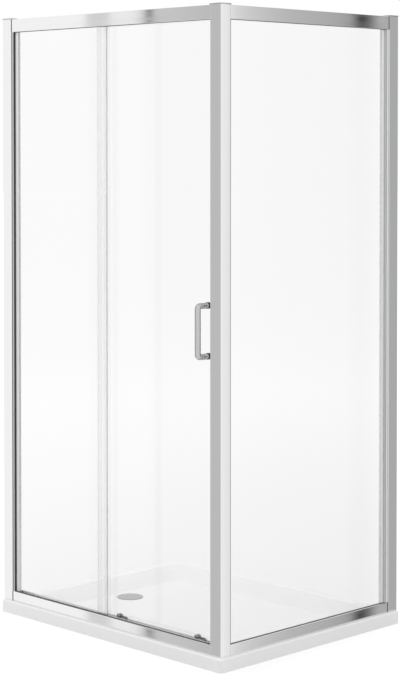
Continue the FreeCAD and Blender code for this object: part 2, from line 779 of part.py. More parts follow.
def make_wall_uprights():
    """Wall profile and jamb of the front panel and of the side panel, drilled."""
    wall, depth, width = size.profile_wall, size.wall_profile_depth, size.wall_profile_width
    inner = wall + size.jamb_clearance
    along = (size.jamb_start + width) / 2
    levels, ports = upright_screw_levels(), rail_port_levels()
    front_back, side_back = front_face + depth, side_face - depth
    profile = make_wall_profile("wall_profile_front", front_place, "YZ")
    drill(profile, "XZ", left_wall + along, levels, front_back - wall, front_back)
    profile = make_wall_profile("wall_profile_side", side_place, "XZ")
    drill(profile, "YZ", back_wall - along, levels, side_back, side_back + wall)
    jamb = make_jamb("jamb_front", front_place)
    web = left_wall + width
    drill(jamb, "YZ", front_face + port_depth, ports, web - wall, web)
    leg = front_back - inner
    drill(jamb, "XZ", left_wall + along, levels, leg - wall, leg)
    jamb = make_jamb("jamb_side", side_place)
    web = back_wall - width
    drill(jamb, "XZ", side_face - port_depth, ports, web, web + wall)
    leg = side_back + inner
    drill(jamb, "YZ", back_wall - along, levels, leg, leg + wall)


def make_post():
    """The corner post: pocket for the door, slot for the side glass, and chambers."""
    post = new_body("corner_post")
    wall, width, depth = size.profile_wall, size.post_width, size.post_depth
    lobe, back, outer = size.post_lobe, size.rail_depth, size.profile_round
    pocket_low = pocket_front - front_face
    pocket_high = pocket_back - front_face
    slot_near, slot_far = width - slot_front, width - slot_back
    slot_floor = depth - size.post_slot_depth
    outline = [
        (0, 0, outer),
        (width, 0, outer),
        (width, depth, outer),
        (slot_near, depth),
        (slot_near, slot_floor),
        (slot_far, slot_floor),
        (slot_far, depth),
        (lobe, depth),
        (lobe, back),
        (0, back),
        (0, pocket_high),
        (size.post_pocket, pocket_high),
        (size.post_pocket, pocket_low),
        (0, pocket_low),
    ]
    rooms = [
        rectangle((wall, width - wall), (wall, pocket_low - wall)),
        rectangle((size.post_pocket + wall, slot_far - wall), (pocket_low, depth - wall)),
        rectangle((slot_near + wall, width - wall), (pocket_low, depth - wall)),
        rectangle((wall, lobe - wall), (pocket_high + wall, back - wall)),
    ]
    loops = [at_post(loop) for loop in [outline, *rooms]]
    pad(post, "XY", loops, rim, rail_top)
    levels = rail_port_levels()
    drill(post, "YZ", front_face + port_depth, levels, post_left, post_left + wall)
    drill(post, "XZ", side_face - port_depth, levels, pocket_front - wall, post_back)


def at_post(corners):
    """Corners given from the post's left edge and behind its face."""
    return [
        (post_left + corner[0], front_face + corner[1]) + tuple(corner[2:]) for corner in corners
    ]


def make_cap(label, x, y):
    """A plastic end cap on an upright, with its top edge bevelled."""
    cap = new_body(label)
    pad(cap, "XY", [rectangle(x, y, size.profile_round)], rail_top, rail_top + size.cap_thick)
    over = (rail_top + size.cap_thick).value
    bevel_edges(cap, size.cap_bevel, lambda edge: is_level(edge, over))


def make_caps():
    """The caps on the post and on both wall profiles."""
    over = size.cap_overhang
    make_cap(
        "corner_post_cap",
        (post_left - over, side_face + over),
        (front_face - over, post_back + over),
    )
    make_cap(
        "wall_cap_front",
        (left_wall, left_wall + size.wall_profile_width + over),
        (front_face - over, front_face + size.wall_profile_depth + over),
    )
    make_cap(
        "wall_cap_side",
        (side_face - size.wall_profile_depth - over, side_face + over),
        (back_wall - size.wall_profile_width - over, back_wall),
    )


# ----------------------------------------------------------------------- the rails


def slot_corners(face):
    """The glass slot's corners, from behind the slot towards the face."""
    floor = face - size.slot_depth
    return [
        (size.rail_box, face),
        (slot_back, face),
        (slot_back, floor),
        (slot_front, floor),
        (slot_front, face),
        (0, face, size.profile_round),
    ]


def rail_rooms(face, ports):
    """The chambers of a rail's box, and its screw ports."""
    wall, box, boss = size.profile_wall, size.rail_box, size.port_boss
    floor = face - size.slot_depth - wall
    inner, boss_side = box - wall, box - wall - boss
    room = [(wall, wall), (boss_side, wall), (boss_side, wall + boss), (inner, wall + boss)]
    if ports > 1:
        room += [(inner, floor - boss), (boss_side, floor - boss), (boss_side, floor)]
    else:
        room += [(inner, floor)]
    room += [(wall, floor)]
    lip_room = rectangle((wall, slot_front - wall), (face - size.slot_depth, face - wall))
    bores = [("circle", port_depth, port_level, size.port_bore)]
    if ports > 1:
        bores += [("circle", port_depth, second_port_level, size.port_bore)]
    return [room, lip_room, *bores]


def front_top_section():
    """The front top rail: box with glass slot, roof, rear wall and track with bead."""
    wall, depth, box = size.profile_wall, size.rail_depth, size.rail_box
    drop, lip = size.track_drop, size.track_drop - size.track_lip
    bead_near, bead_far = bead_middle - size.bead_width / 2, bead_middle + size.bead_width / 2
    track = [
        (depth, drop),
        (depth - size.track_lip_reach, drop),
        (depth - size.track_lip_reach, lip),
        (bead_near, lip),
        (bead_near, lip - size.bead_height),
        (bead_far, lip - size.bead_height),
        (bead_far, lip),
        (depth - wall, lip),
        (depth - wall, wall),
        (box, wall),
    ]
    start = [(0, 0, size.profile_round), (depth, 0)]
    return start + track + slot_corners(size.top_rail_face)


def front_bottom_section():
    """The front bottom rail: box with glass slot, bead for the wheels and rear dam."""
    wall, depth, box = size.profile_wall, size.rail_depth, size.rail_box
    bead_near, bead_far = bead_middle - size.bead_width / 2, bead_middle + size.bead_width / 2
    track = [
        (depth, size.rear_dam),
        (depth - wall, size.rear_dam),
        (depth - wall, wall),
        (bead_far, wall),
        (bead_far, size.bottom_bead_height),
        (bead_near, size.bottom_bead_height),
        (bead_near, wall),
        (box, wall),
    ]
    start = [(0, 0, size.profile_round), (depth, 0)]
    return start + track + slot_corners(size.bottom_rail_face)


def side_section(face):
    """A side rail: only the box with its glass slot."""
    return [(0, 0, size.profile_round), (size.rail_box, 0)] + slot_corners(face)


def rail_view(corners, side, top):
    """Corners as depth behind the face and distance from the outer edge, in place."""
    placed = []
    for corner in corners:
        depth, drop = as_size(corner[0]), as_size(corner[1])
        across = side_face - depth if side else front_face + depth
        level = rail_top - drop if top else rim + drop
        placed.append((across, level) + tuple(corner[2:]))
    return placed


def rail_loops(loops, side, top):
    """Outlines and bores of a rail, in place."""
    placed = []
    for loop in loops:
        if loop[0] == "circle":
            (centre,) = rail_view([loop[1:3]], side, top)
            placed.append(("circle", *centre, loop[3]))
        else:
            placed.append(rail_view(loop, side, top))
    return placed


def make_rail(label, section, face, side, top):
    """One extruded rail between an upright on the wall and the corner post."""
    rail = new_body(label)
    loops = rail_loops([section, *rail_rooms(face, 2 if top else 1)], side, top)
    if side:
        pad(rail, "XZ", loops, post_back, side_rail_end)
    else:
        pad(rail, "YZ", loops, rail_left, post_left)
    return rail


def make_rails():
    """The four rails; the front bottom one has drain slots in its rear dam."""
    make_rail("top_rail_front", front_top_section(), size.top_rail_face, False, True)
    low = make_rail(
        "bottom_rail_front", front_bottom_section(), size.bottom_rail_face, False, False
    )
    start = rail_left + size.drain_slot_spacing / 2
    sill = rim + size.profile_wall
    slot = rectangle(
        (start, start + size.drain_slot_length),
        (sill, sill + size.drain_slot_height),
        size.profile_round,
    )
    dam = front_face + size.rail_depth
    cut = pocket(low, "XZ", [slot], dam - size.profile_wall, dam)
    repeat(low, cut, "X_Axis", size.drain_slot_spacing, 3)
    for end, top in (("top", True), ("bottom", False)):
        face = size.top_rail_face if top else size.bottom_rail_face
        make_rail(f"{end}_rail_side", side_section(face), face, True, top)


def end_plate(label, corners, face, side, top):
    """The plastic plate that closes a rail at its wall end."""
    plate = new_body(label, listed=False)
    ports = rail_rooms(face, 2 if top else 1)[2:]
    loops = rail_loops([corners, *ports], side, top)
    if side:
        pad(plate, "XZ", loops, side_rail_end, side_rail_end + size.end_plate)
    else:
        pad(plate, "YZ", loops, rail_left - size.end_plate, rail_left)
    return plate


def make_end_plates():
    """The end plates of the front rails and of the side rails."""
    box = size.rail_box
    front, side = [], []
    for top, back in ((True, size.track_drop), (False, size.rear_dam)):
        face = size.top_rail_face if top else size.bottom_rail_face
        name = "top" if top else "bottom"
        deep = [(0, 0), (size.rail_depth, 0), (size.rail_depth, back), (box, back)]
        corners = [*deep, (box, face), (0, face)]
        front.append(end_plate(f"{name}_front_plate", corners, face, False, top))
        shallow = [(0, 0), (box, 0), (box, face), (0, face)]
        side.append(end_plate(f"{name}_side_plate", shallow, face, True, top))
    grouped("rail_end_plates_front", front)
    grouped("rail_end_plates_side", side)


def screw(label, axis, head_size, shank_size, start, way, length):
    """A pan-head screw from the seat of its head; way is +1 or -1 along the axis."""
    index = "XYZ".index(axis)
    head_start, shank_start = list(map(as_size, start)), list(map(as_size, start))
    if way > 0:
        head_start[index] = head_start[index] - size.screw_head_height
    else:
        shank_start[index] = shank_start[index] - length
    head = rod(f"{label}_head", axis, head_size, head_start, size.screw_head_height)
    shank = rod(f"{label}_shank", axis, shank_size, shank_start, length)
    return joined(label, [head, shank])


def make_screws():
    """The screws from jambs and post into the rails, and those in the wall profiles."""
    wall = size.profile_wall
    head, shank, length = size.rail_screw_head, size.rail_screw_size, size.rail_screw_length
    jamb_web = size.wall_profile_width - wall
    front_row, side_row = front_face + port_depth, side_face - port_depth
    front, side = [], []
    for n, level in enumerate(rail_port_levels(), start=1):
        start = (left_wall + jamb_web, front_row, level)
        front.append(screw(f"front_jamb_screw_{n}", "X", head, shank, start, 1, length))
        start = (post_left + wall, front_row, level)
        front.append(screw(f"front_post_screw_{n}", "X", head, shank, start, -1, length))
        start = (side_row, back_wall - jamb_web, level)
        side.append(screw(f"side_jamb_screw_{n}", "Y", head, shank, start, -1, length))
        start = (side_row, pocket_front - wall, level)
        long = size.post_screw_length
        side.append(screw(f"side_post_screw_{n}", "Y", head, shank, start, 1, long))
    grouped("rail_screws_front", front)
    grouped("rail_screws_side", side)
    head, shank, length = size.jamb_screw_head, size.jamb_screw_size, size.jamb_screw_length
    along = (size.jamb_start + size.wall_profile_width) / 2
    depth = size.wall_profile_depth
    front, side = [], []
    for n, level in enumerate(upright_screw_levels(), start=1):
        start = (left_wall + along, front_face + depth, level)
        front.append(screw(f"front_profile_screw_{n}", "Y", head, shank, start, -1, length))
        start = (side_face - depth, back_wall - along, level)
        side.append(screw(f"side_profile_screw_{n}", "X", head, shank, start, 1, length))
    grouped("jamb_screws_front", front)
    grouped("jamb_screws_side", side)


# --------------------------------------------------------------- the fixed glass


def make_pane(label, plane, across, levels, holes, low, high):
    """A pane of toughened glass with its drilled holes."""
    pane = new_body(label)
    pad(pane, plane, [rectangle(across, levels), *holes], low, high)


def make_gasket(label, place, side, ends):
    """The black gasket of a fixed pane: up the jamb and along both rails.

    The front gasket has a bead that covers the edge of the jamb's lip.
    """
    gasket = new_body(label)
    width = size.wall_profile_width
    rear_end = jamb_glass + size.gasket_rear_leg
    near, far = size.fixed_setback, size.fixed_setback + size.glass_thick
    if side:
        front_edge = [(rear_end, slot_front), (rear_end, near)]
    else:
        lip_end = width + size.jamb_front_lip
        bead, bead_end = size.gasket_bead, lip_end + size.gasket_lip
        front_edge = [(lip_end, slot_front), (lip_end, bead), (bead_end, bead), (bead_end, near)]
    upright = [
        (width, slot_front),
        *front_edge,
        (jamb_glass, near),
        (jamb_glass, far),
        (rear_end, far),
        (rear_end, slot_back),
        (width, slot_back),
    ]
    edge = size.gasket_edge
    pad(gasket, "XY", [plan(place, upright)], bottom_rail_over, top_rail_under)
    for face, top in ((size.top_rail_face, True), (size.bottom_rail_face, False)):
        floor = face - size.slot_depth
        glass_end = floor + size.glass_end_gap
        channel = [
            (slot_front, floor),
            (slot_back, floor),
            (slot_back, face + edge),
            (far, face + edge),
            (far, glass_end),
            (near, glass_end),
            (near, face + edge),
            (slot_front, face + edge),
        ]
        pad(gasket, "XZ" if side else "YZ", [rail_view(channel, side, top)], *ends)


def make_fixed_panes():
    """The fixed pane of the front, the side pane, their gaskets and the fixed seal."""
    levels = (glass_bottom, glass_top)
    across = (left_wall + jamb_glass, fixed_edge)
    make_pane("fixed_glass", "XZ", across, levels, [], fixed_front, fixed_back)
    across = (post_back - size.post_slot_depth + size.glass_end_gap, back_wall - jamb_glass)
    make_pane("side_glass", "YZ", across, levels, [], side_glass_inner, side_glass_outer)
    make_gasket("fixed_glass_gasket", front_place, False, (rail_left, post_left))
    make_gasket("side_glass_gasket", side_place, True, (post_back, side_rail_end))
    seal = new_body("fixed_glass_seal")
    wall, grip = size.seal_wall, fixed_edge - size.fixed_seal_grip
    fin = door_front - size.fixed_seal_gap
    outline = [
        (grip, fixed_front),
        (grip, fixed_front - wall),
        (fixed_edge + wall, fixed_front - wall),
        (fixed_edge + wall, fin),
        (fixed_edge, fin),
        (fixed_edge, fixed_back + wall),
        (grip, fixed_back + wall),
        (grip, fixed_back),
        (fixed_edge, fixed_back),
        (fixed_edge, fixed_front),
    ]
    clear = size.gasket_edge + size.jamb_clearance
    pad(seal, "XY", [outline], bottom_rail_over + clear, top_rail_under - clear)


# ---------------------------------------------------------------------- the door


def make_door_glass():
    """The sliding pane, drilled for its brackets, pivots and handle."""
    bush_hole = size.adjuster_size + size.glass_hole_gap * 2
    holes = [("circle", x, adjuster_level, bush_hole) for x in top_roller_x.values()]
    holes += [("circle", x, pivot_level, size.pivot_hole) for x in bottom_roller_x.values()]
    holes += [("circle", handle_x, level, size.handle_hole) for level in arm_levels]
    across, levels = (door_left, door_right), (door_bottom, door_top)
    make_pane("door_glass", "XZ", across, levels, holes, door_front, door_back)


def make_door_seals():
    """The clear seals on the door's edges, and the magnet strip in the post."""
    wall = size.seal_wall
    low, high = door_bottom + size.bottom_seal_grip, door_top - size.seal_wall
    trailing = new_body("door_trailing_seal")
    grip = door_left + size.trailing_seal_grip
    bulb = door_front - size.trailing_seal_bulb
    outline = [
        (grip, door_front),
        (grip, door_front - wall),
        (door_left + wall, door_front - wall),
        (door_left + wall, bulb),
        (door_left - wall, bulb),
        (door_left - wall, door_back + wall),
        (grip, door_back + wall),
        (grip, door_back),
        (door_left, door_back),
        (door_left, door_front),
    ]
    pad(trailing, "XY", [outline], low, high)
    leading = new_body("door_magnet_seal")
    grip = door_right - size.magnet_seal_grip
    middle = (door_front + door_back) / 2
    near, far = middle - size.magnet_width / 2, middle + size.magnet_width / 2
    inner = pocket_end - size.post_magnet_thick
    tip = inner - size.magnet_gap
    outline = [
        (grip, door_front),
        (grip, door_front - wall),
        (door_right + wall, door_front - wall),
        (door_right + wall, near),
        (tip, near),
        (tip, far),
        (door_right + wall, far),
        (door_right + wall, door_back + wall),
        (grip, door_back + wall),
        (grip, door_back),
        (door_right, door_back),
        (door_right, door_front),
    ]
    pad(leading, "XY", [outline], low, high)
    strip = new_body("post_magnet_strip")
    pad(strip, "XY", [rectangle((inner, pocket_end), (near, far))], low, high)
    drip = new_body("door_bottom_seal")
    thin = size.bottom_seal_wall
    sole = door_bottom - thin
    outline = [
        (door_front, door_bottom),
        (door_front, low),
        (door_front - thin, low),
        (door_front - thin, sole),
        (middle, sole),
        (middle, door_bottom - size.bottom_seal_fin),
        (middle + thin, door_bottom - size.bottom_seal_fin),
        (middle + thin, sole),
        (door_back + thin, sole),
        (door_back + thin, low),
        (door_back, low),
        (door_back, door_bottom),
    ]
    pad(drip, "YZ", [outline], door_left, door_right)


def make_stops():
    """The rubber stops that sit over the bead at both ends of the top track."""
    near = size.rail_depth - size.track_lip_reach + size.stop_inset
    far = size.rail_depth - size.profile_wall
    bead_near, bead_far = bead_middle - size.bead_width / 2, bead_middle + size.bead_width / 2
    lip = size.track_drop - size.track_lip
    top = lip - size.stop_height
    outline = [
        (near, lip),
        (bead_near, lip),
        (bead_near, lip - size.bead_height),
        (bead_far, lip - size.bead_height),
        (bead_far, lip),
        (far, lip),
        (far, top),
        (near, top),
    ]
    reach = size.wheel_pitch / 2 + size.top_wheel_size / 2 + size.wheel_flange + size.stop_gap
    left, right = rail_left + size.stop_from_plate, top_roller_x["right"] + reach
    stops = []
    for name, start in (("left", left), ("right", right)):
        stop = new_body(f"{name}_stop", listed=False)
        pad(stop, "YZ", [rail_view(outline, False, True)], start, start + size.stop_length)
        stops.append(stop)
    grouped("door_stops", stops)


# ------------------------------------------------------------- the running gear


def make_wheel(label, rolling, bore, place):
    """A grooved plastic wheel."""
    tread = (size.wheel_width - size.wheel_groove) / 2
    low, flange = rolling / 2, rolling / 2 + size.wheel_flange
    width = size.wheel_width
    outline = [
        (bore / 2, 0),
        (flange, 0),
        (flange, tread),
        (low, tread),
        (low, width - tread),
        (flange, width - tread),
        (flange, width),
        (bore / 2, width),
    ]
    turned(label, outline, place)


def axle_outline(pin, shoulder, head, start):
    """An axle from the back of its plate, with shoulder, wheel seat and head."""
    seat = wheel_front - size.axle_end_play - start
    end = seat + size.wheel_width + size.axle_end_play * 2
    plate = size.bracket_thick if start is bracket_back else size.arm_thick
    return [
        (0, -plate),
        (pin / 2, -plate),
        (pin / 2, 0),
        (shoulder / 2, 0),
        (shoulder / 2, seat),
        (pin / 2, seat),
        (pin / 2, end),
        (head / 2, end),
        (head / 2, end + size.axle_head_thick),
        (0, end + size.axle_head_thick),
    ]


def make_top_rollers():
    """Brackets, axles, wheels, clamps and eccentric bushes at the top of the door."""
    bushes = []
    play = size.fit_gap * 2
    for side, x in top_roller_x.items():
        bracket = new_body(f"top_bracket_{side}")
        across = (x - size.bracket_width / 2, x + size.bracket_width / 2)
        levels = (rail_top - size.bracket_bottom, rail_top - size.bracket_top)
        axle_x = {
            "outer": x - size.wheel_pitch / 2,
            "inner": x + size.wheel_pitch / 2,
        }
        if side == "right":
            axle_x = {"inner": axle_x["outer"], "outer": axle_x["inner"]}
        holes = [("circle", x, clamp_level, size.clamp_bolt_size + play)]
        holes += [
            ("circle", place, top_axle_level, size.axle_size + play) for place in axle_x.values()
        ]
        plate = [rectangle(across, levels, size.bracket_round), *holes]
        pad(bracket, "XZ", plate, bracket_front, bracket_back)
        outline = axle_outline(
            size.axle_size, size.axle_shoulder, size.axle_head_size, bracket_back
        )
        axles = []
        for name, place in axle_x.items():
            seat = (place, bracket_back, top_axle_level)
            axles.append(turned(f"{name}_axle_{side}", outline, seat, listed=False))
            bore = size.axle_size + size.axle_gap * 2
            middle = (place, wheel_front, top_axle_level)
            make_wheel(f"top_wheel_{side}_{name}", size.top_wheel_size, bore, middle)
        grouped(f"top_axles_{side}", axles)
        disc, bolt = size.clamp_size / 2, size.clamp_bolt_size / 2
        length = bracket_back - door_front
        outline = [
            (0, -size.clamp_thick),
            (disc, -size.clamp_thick),
            (disc, 0),
            (bolt, 0),
            (bolt, length),
            (0, length),
        ]
        turned(f"top_clamp_{side}", outline, (x, door_front, clamp_level))
        bush = new_body(f"bush_{side}", listed=False)
        rings = [
            ("circle", x, adjuster_level, size.adjuster_size),
            ("circle", x, clamp_level, size.clamp_bolt_size + play),
        ]
        pad(bush, "XZ", rings, door_front, door_back)
        bushes.append(bush)
    grouped("top_adjusters", bushes)


def make_spring(side, x):
    """A torsion spring round the pivot, its close turns as one sleeve, and its legs."""
    wire = size.spring_wire
    inside = size.pivot_size + size.spring_gap * 2
    coil = new_body(f"coil_{side}", listed=False)
    rings = [("circle", 0, 0, inside + wire * 2), ("circle", 0, 0, inside)]
    pad(coil, "XZ", rings, 0, size.spring_coil)
    start = arm_back + size.spring_gap
    put(coil, (x, start, pivot_level))
    pieces = [coil]
    row = x + (inside + wire) / 2
    for name, depth in (("first", wire / 2), ("last", size.spring_coil - wire / 2)):
        place = (row, start + depth, pivot_level)
        pieces.append(rod(f"{name}_leg_{side}", "Z", wire, place, size.spring_leg))
    return joined(f"spring_{side}", pieces)


def make_bottom_rollers():
    """Pivots, sprung arms, axles, wheels and springs at the bottom of the door."""
    springs = []
    drop = bottom_axle_level - pivot_level
    for side, x in bottom_roller_x.items():
        cap, pin = size.pivot_cap_size / 2, size.pivot_size / 2
        collar = size.pivot_head_size / 2
        glass, collar_end = size.glass_thick, size.glass_thick + size.arm_glass_gap
        back = collar_end + size.arm_thick + size.spring_coil + size.spring_gap * 2
        outline = [
            (0, -size.pivot_cap_thick),
            (cap, -size.pivot_cap_thick),
            (cap, 0),
            (pin, 0),
            (pin, glass),
            (collar, glass),
            (collar, collar_end),
            (pin, collar_end),
            (pin, back),
            (collar, back),
            (collar, back + size.pivot_head_thick),
            (0, back + size.pivot_head_thick),
        ]
        turned(f"bottom_pivot_{side}", outline, (x, door_front, pivot_level))
        springs.append(make_spring(side, x))
        arm = new_body(f"bottom_arm_{side}")
        near, far = size.arm_reach - size.arm_leg / 2, size.arm_reach + size.arm_leg / 2
        beam = [
            (0, size.arm_rise),
            (far, size.arm_rise, size.arm_rise),
            (far, drop),
            (near, drop),
            (near, size.arm_rise - size.arm_beam),
            (0, size.arm_rise - size.arm_beam),
        ]
        pad(arm, "XZ", [beam], 0, size.arm_thick)
        pad(arm, "XZ", [("circle", 0, 0, size.arm_hub)], 0, size.arm_thick)
        pad(arm, "XZ", [("circle", size.arm_reach, drop, size.arm_leg)], 0, size.arm_thick)
        bores = [
            ("circle", 0, 0, size.pivot_size + size.axle_gap * 2),
            ("circle", size.arm_reach, drop, size.bottom_axle_size + size.fit_gap * 2),
        ]
        pocket(arm, "XZ", bores, 0, size.arm_thick)
        put(arm, (x, arm_front, pivot_level))
        axle_x = x + size.arm_reach
        shoulder = size.bottom_axle_shoulder
        outline = axle_outline(size.bottom_axle_size, shoulder, shoulder, arm_back)
        turned(f"bottom_axle_{side}", outline, (axle_x, arm_back, bottom_axle_level))
        bore = size.bottom_axle_size + size.axle_gap * 2
        middle = (axle_x, wheel_front, bottom_axle_level)
        make_wheel(f"bottom_wheel_{side}", size.bottom_wheel_size, bore, middle)
    grouped("bottom_springs", springs)


# -------------------------------------------------------------------- the handle


def make_handle():
    """The bent bar with its collars, and the bolts with their heads on the inside."""
    handle = new_body("handle")
    foot, bar = door_front - size.collar_thick, door_front - size.handle_reach
    low, high = arm_levels
    path = new_sketch(handle, "YZ")
    corners = [
        (foot, low),
        (bar, low, size.handle_bend),
        (bar, high, size.handle_bend),
        (foot, high),
    ]
    draw(path, corners, closed=False)
    section = new_sketch(handle, "XZ", foot)
    draw_circle(section, 0, low, size.handle_bar)
    document.recompute()
    pipe = handle.newObject("PartDesign::AdditivePipe", "AdditivePipe")
    pipe.Profile = section
    pipe.Spine = (path, [f"Edge{n}" for n in range(1, len(path.Shape.Edges) + 1)])
    bolt_hole = size.handle_bolt_size + size.fit_gap * 2
    holes = [("circle", 0, level, bolt_hole) for level in arm_levels]
    pocket(handle, "XZ", holes, foot - size.handle_bolt_depth, foot)
    put(handle, (handle_x, 0, 0))
    collars, bolts = [], []
    for name, level in zip(("lower", "upper"), arm_levels):
        collar = new_body(f"{name}_collar", listed=False)
        rings = [
            ("circle", handle_x, level, size.collar_size),
            ("circle", handle_x, level, bolt_hole),
        ]
        pad(collar, "XZ", rings, foot, door_front)
        collars.append(collar)
        knob, bolt = size.handle_knob_size / 2, size.handle_bolt_size / 2
        reach = size.glass_thick + size.collar_thick + size.handle_bolt_depth
        outline = [
            (0, -reach),
            (bolt, -reach),
            (bolt, 0),
            (knob, 0),
            (knob, size.handle_knob_thick),
            (0, size.handle_knob_thick),
        ]
        place = (handle_x, door_back, level)
        bolts.append(turned(f"{name}_bolt", outline, place, listed=False))
    grouped("handle_collars", collars)
    grouped("handle_bolts", bolts)


# ------------------------------------------------------------- build and export


def check_document():
    """Stop with a plain message if any object, sub-part or cut went wrong."""
    for thing in document.Objects:
        if "Invalid" in thing.State or "Error" in thing.State:
            raise RuntimeError(f"{thing.Name} ({thing.Label}) did not build: {thing.State}")
        if thing.TypeId in CUTTING and thing.BaseFeature is not None:
            if thing.Shape.Volume > thing.BaseFeature.Shape.Volume - 0.1:
                raise RuntimeError(f"{thing.Name} in {thing.Label} cuts nothing away")
    for part in sub_parts:
        if part.Shape.isNull() or not part.Shape.isValid() or not part.Shape.Solids:
            raise RuntimeError(f"{part.Label} has no valid solid")


def main():
    """Build every sub-part, check them and write the STEP files."""
    make_tray()
    make_support()
    make_waste()
    make_wall_uprights()
    make_post()
    make_caps()
    make_rails()
    make_end_plates()
    make_screws()
    make_fixed_panes()
    make_door_glass()
    make_door_seals()
    make_stops()
    make_top_rollers()
    make_bottom_rollers()
    make_handle()
    document.recompute()
    check_document()
    os.makedirs("parts", exist_ok=True)
    for part in sub_parts:
        part.Shape.exportStep(f"parts/{part.Label}.step")


main()
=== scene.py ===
"""Finishes, small fittings and studio for a corner shower enclosure with a sliding door."""

import logging
import math
from dataclasses import dataclass, field, replace
from enum import Enum
from typing import Callable, Sequence

import bmesh
import bpy
from mathutils import Matrix, Vector


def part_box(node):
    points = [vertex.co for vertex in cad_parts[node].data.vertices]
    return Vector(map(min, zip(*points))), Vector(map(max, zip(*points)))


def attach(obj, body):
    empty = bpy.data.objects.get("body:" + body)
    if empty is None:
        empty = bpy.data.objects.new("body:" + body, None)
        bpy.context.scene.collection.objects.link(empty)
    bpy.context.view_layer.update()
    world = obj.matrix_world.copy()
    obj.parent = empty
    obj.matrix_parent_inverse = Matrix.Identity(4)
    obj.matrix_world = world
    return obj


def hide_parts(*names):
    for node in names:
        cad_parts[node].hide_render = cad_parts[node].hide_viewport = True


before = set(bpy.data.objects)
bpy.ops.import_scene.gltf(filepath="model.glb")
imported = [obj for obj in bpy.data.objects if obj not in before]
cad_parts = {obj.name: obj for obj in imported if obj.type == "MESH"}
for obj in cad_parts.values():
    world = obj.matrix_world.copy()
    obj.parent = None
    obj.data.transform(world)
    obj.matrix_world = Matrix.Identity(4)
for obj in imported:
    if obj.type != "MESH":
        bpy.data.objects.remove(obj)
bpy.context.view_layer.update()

log = logging.getLogger("shower_enclosure")

MM = 0.001
MATH = "ShaderNodeMath"
HEX_SIDES = 6
CROSS_SIDES = 4

# Short names for the types in the hints.
Tree = bpy.types.NodeTree
Node = bpy.types.Node
Output = bpy.types.NodeSocket
Material = bpy.types.Material
Shape = bmesh.types.BMesh
Edge = bmesh.types.BMEdge
Place = Sequence[float]
Outline = Sequence[tuple[float, float]]


# ------------------------------------------------------------------------ finishes


def linear(colour: str) -> tuple[float, float, float, float]:
    """Turns an sRGB hex colour to linear light.

    Args:
        colour: Six hex digits, with or without a leading #.

    Returns:
        Red, green, blue and an alpha of 1.
    """
    digits = colour.lstrip("#")
    parts = [int(digits[i : i + 2], 16) / 255 for i in (0, 2, 4)]
    light = [c / 12.92 if c <= 0.04045 else ((c + 0.055) / 1.055) ** 2.4 for c in parts]
    return (*light, 1.0)


def grey(level: float) -> float:
    """Turns an sRGB grey of 0 to 255 to linear light."""
    return linear(f"{round(level):02x}" * 3)[0]


def add_node(
    tree: Tree, kind: str, settings: dict | None = None, values: dict | None = None,
    links: dict | None = None,
) -> Node:
    """Adds a node with its settings, socket values and incoming links.

    Args:
        tree: The tree that takes the node.
        kind: The node's type name, such as ShaderNodeMath.
        settings: Properties of the node.
        values: Input sockets, by name or number, and their plain values.
        links: Input sockets, by name or number, and the output sockets they take.

    Returns:
        The new node.
    """
    node = tree.nodes.new(kind)
    for name, value in (settings or {}).items():
        setattr(node, name, value)
    for socket, value in (values or {}).items():
        node.inputs[socket].default_value = value
    for socket, source in (links or {}).items():
        tree.links.new(source, node.inputs[socket])
    return node


class Grain(Enum):
    """The way that the fine lines of a surface run."""

    NONE = (1.0, 1.0, 1.0)
    ALONG_X = (0.01, 1.0, 1.0)
    ALONG_Y = (1.0, 0.01, 1.0)
    ALONG_Z = (1.0, 1.0, 0.01)


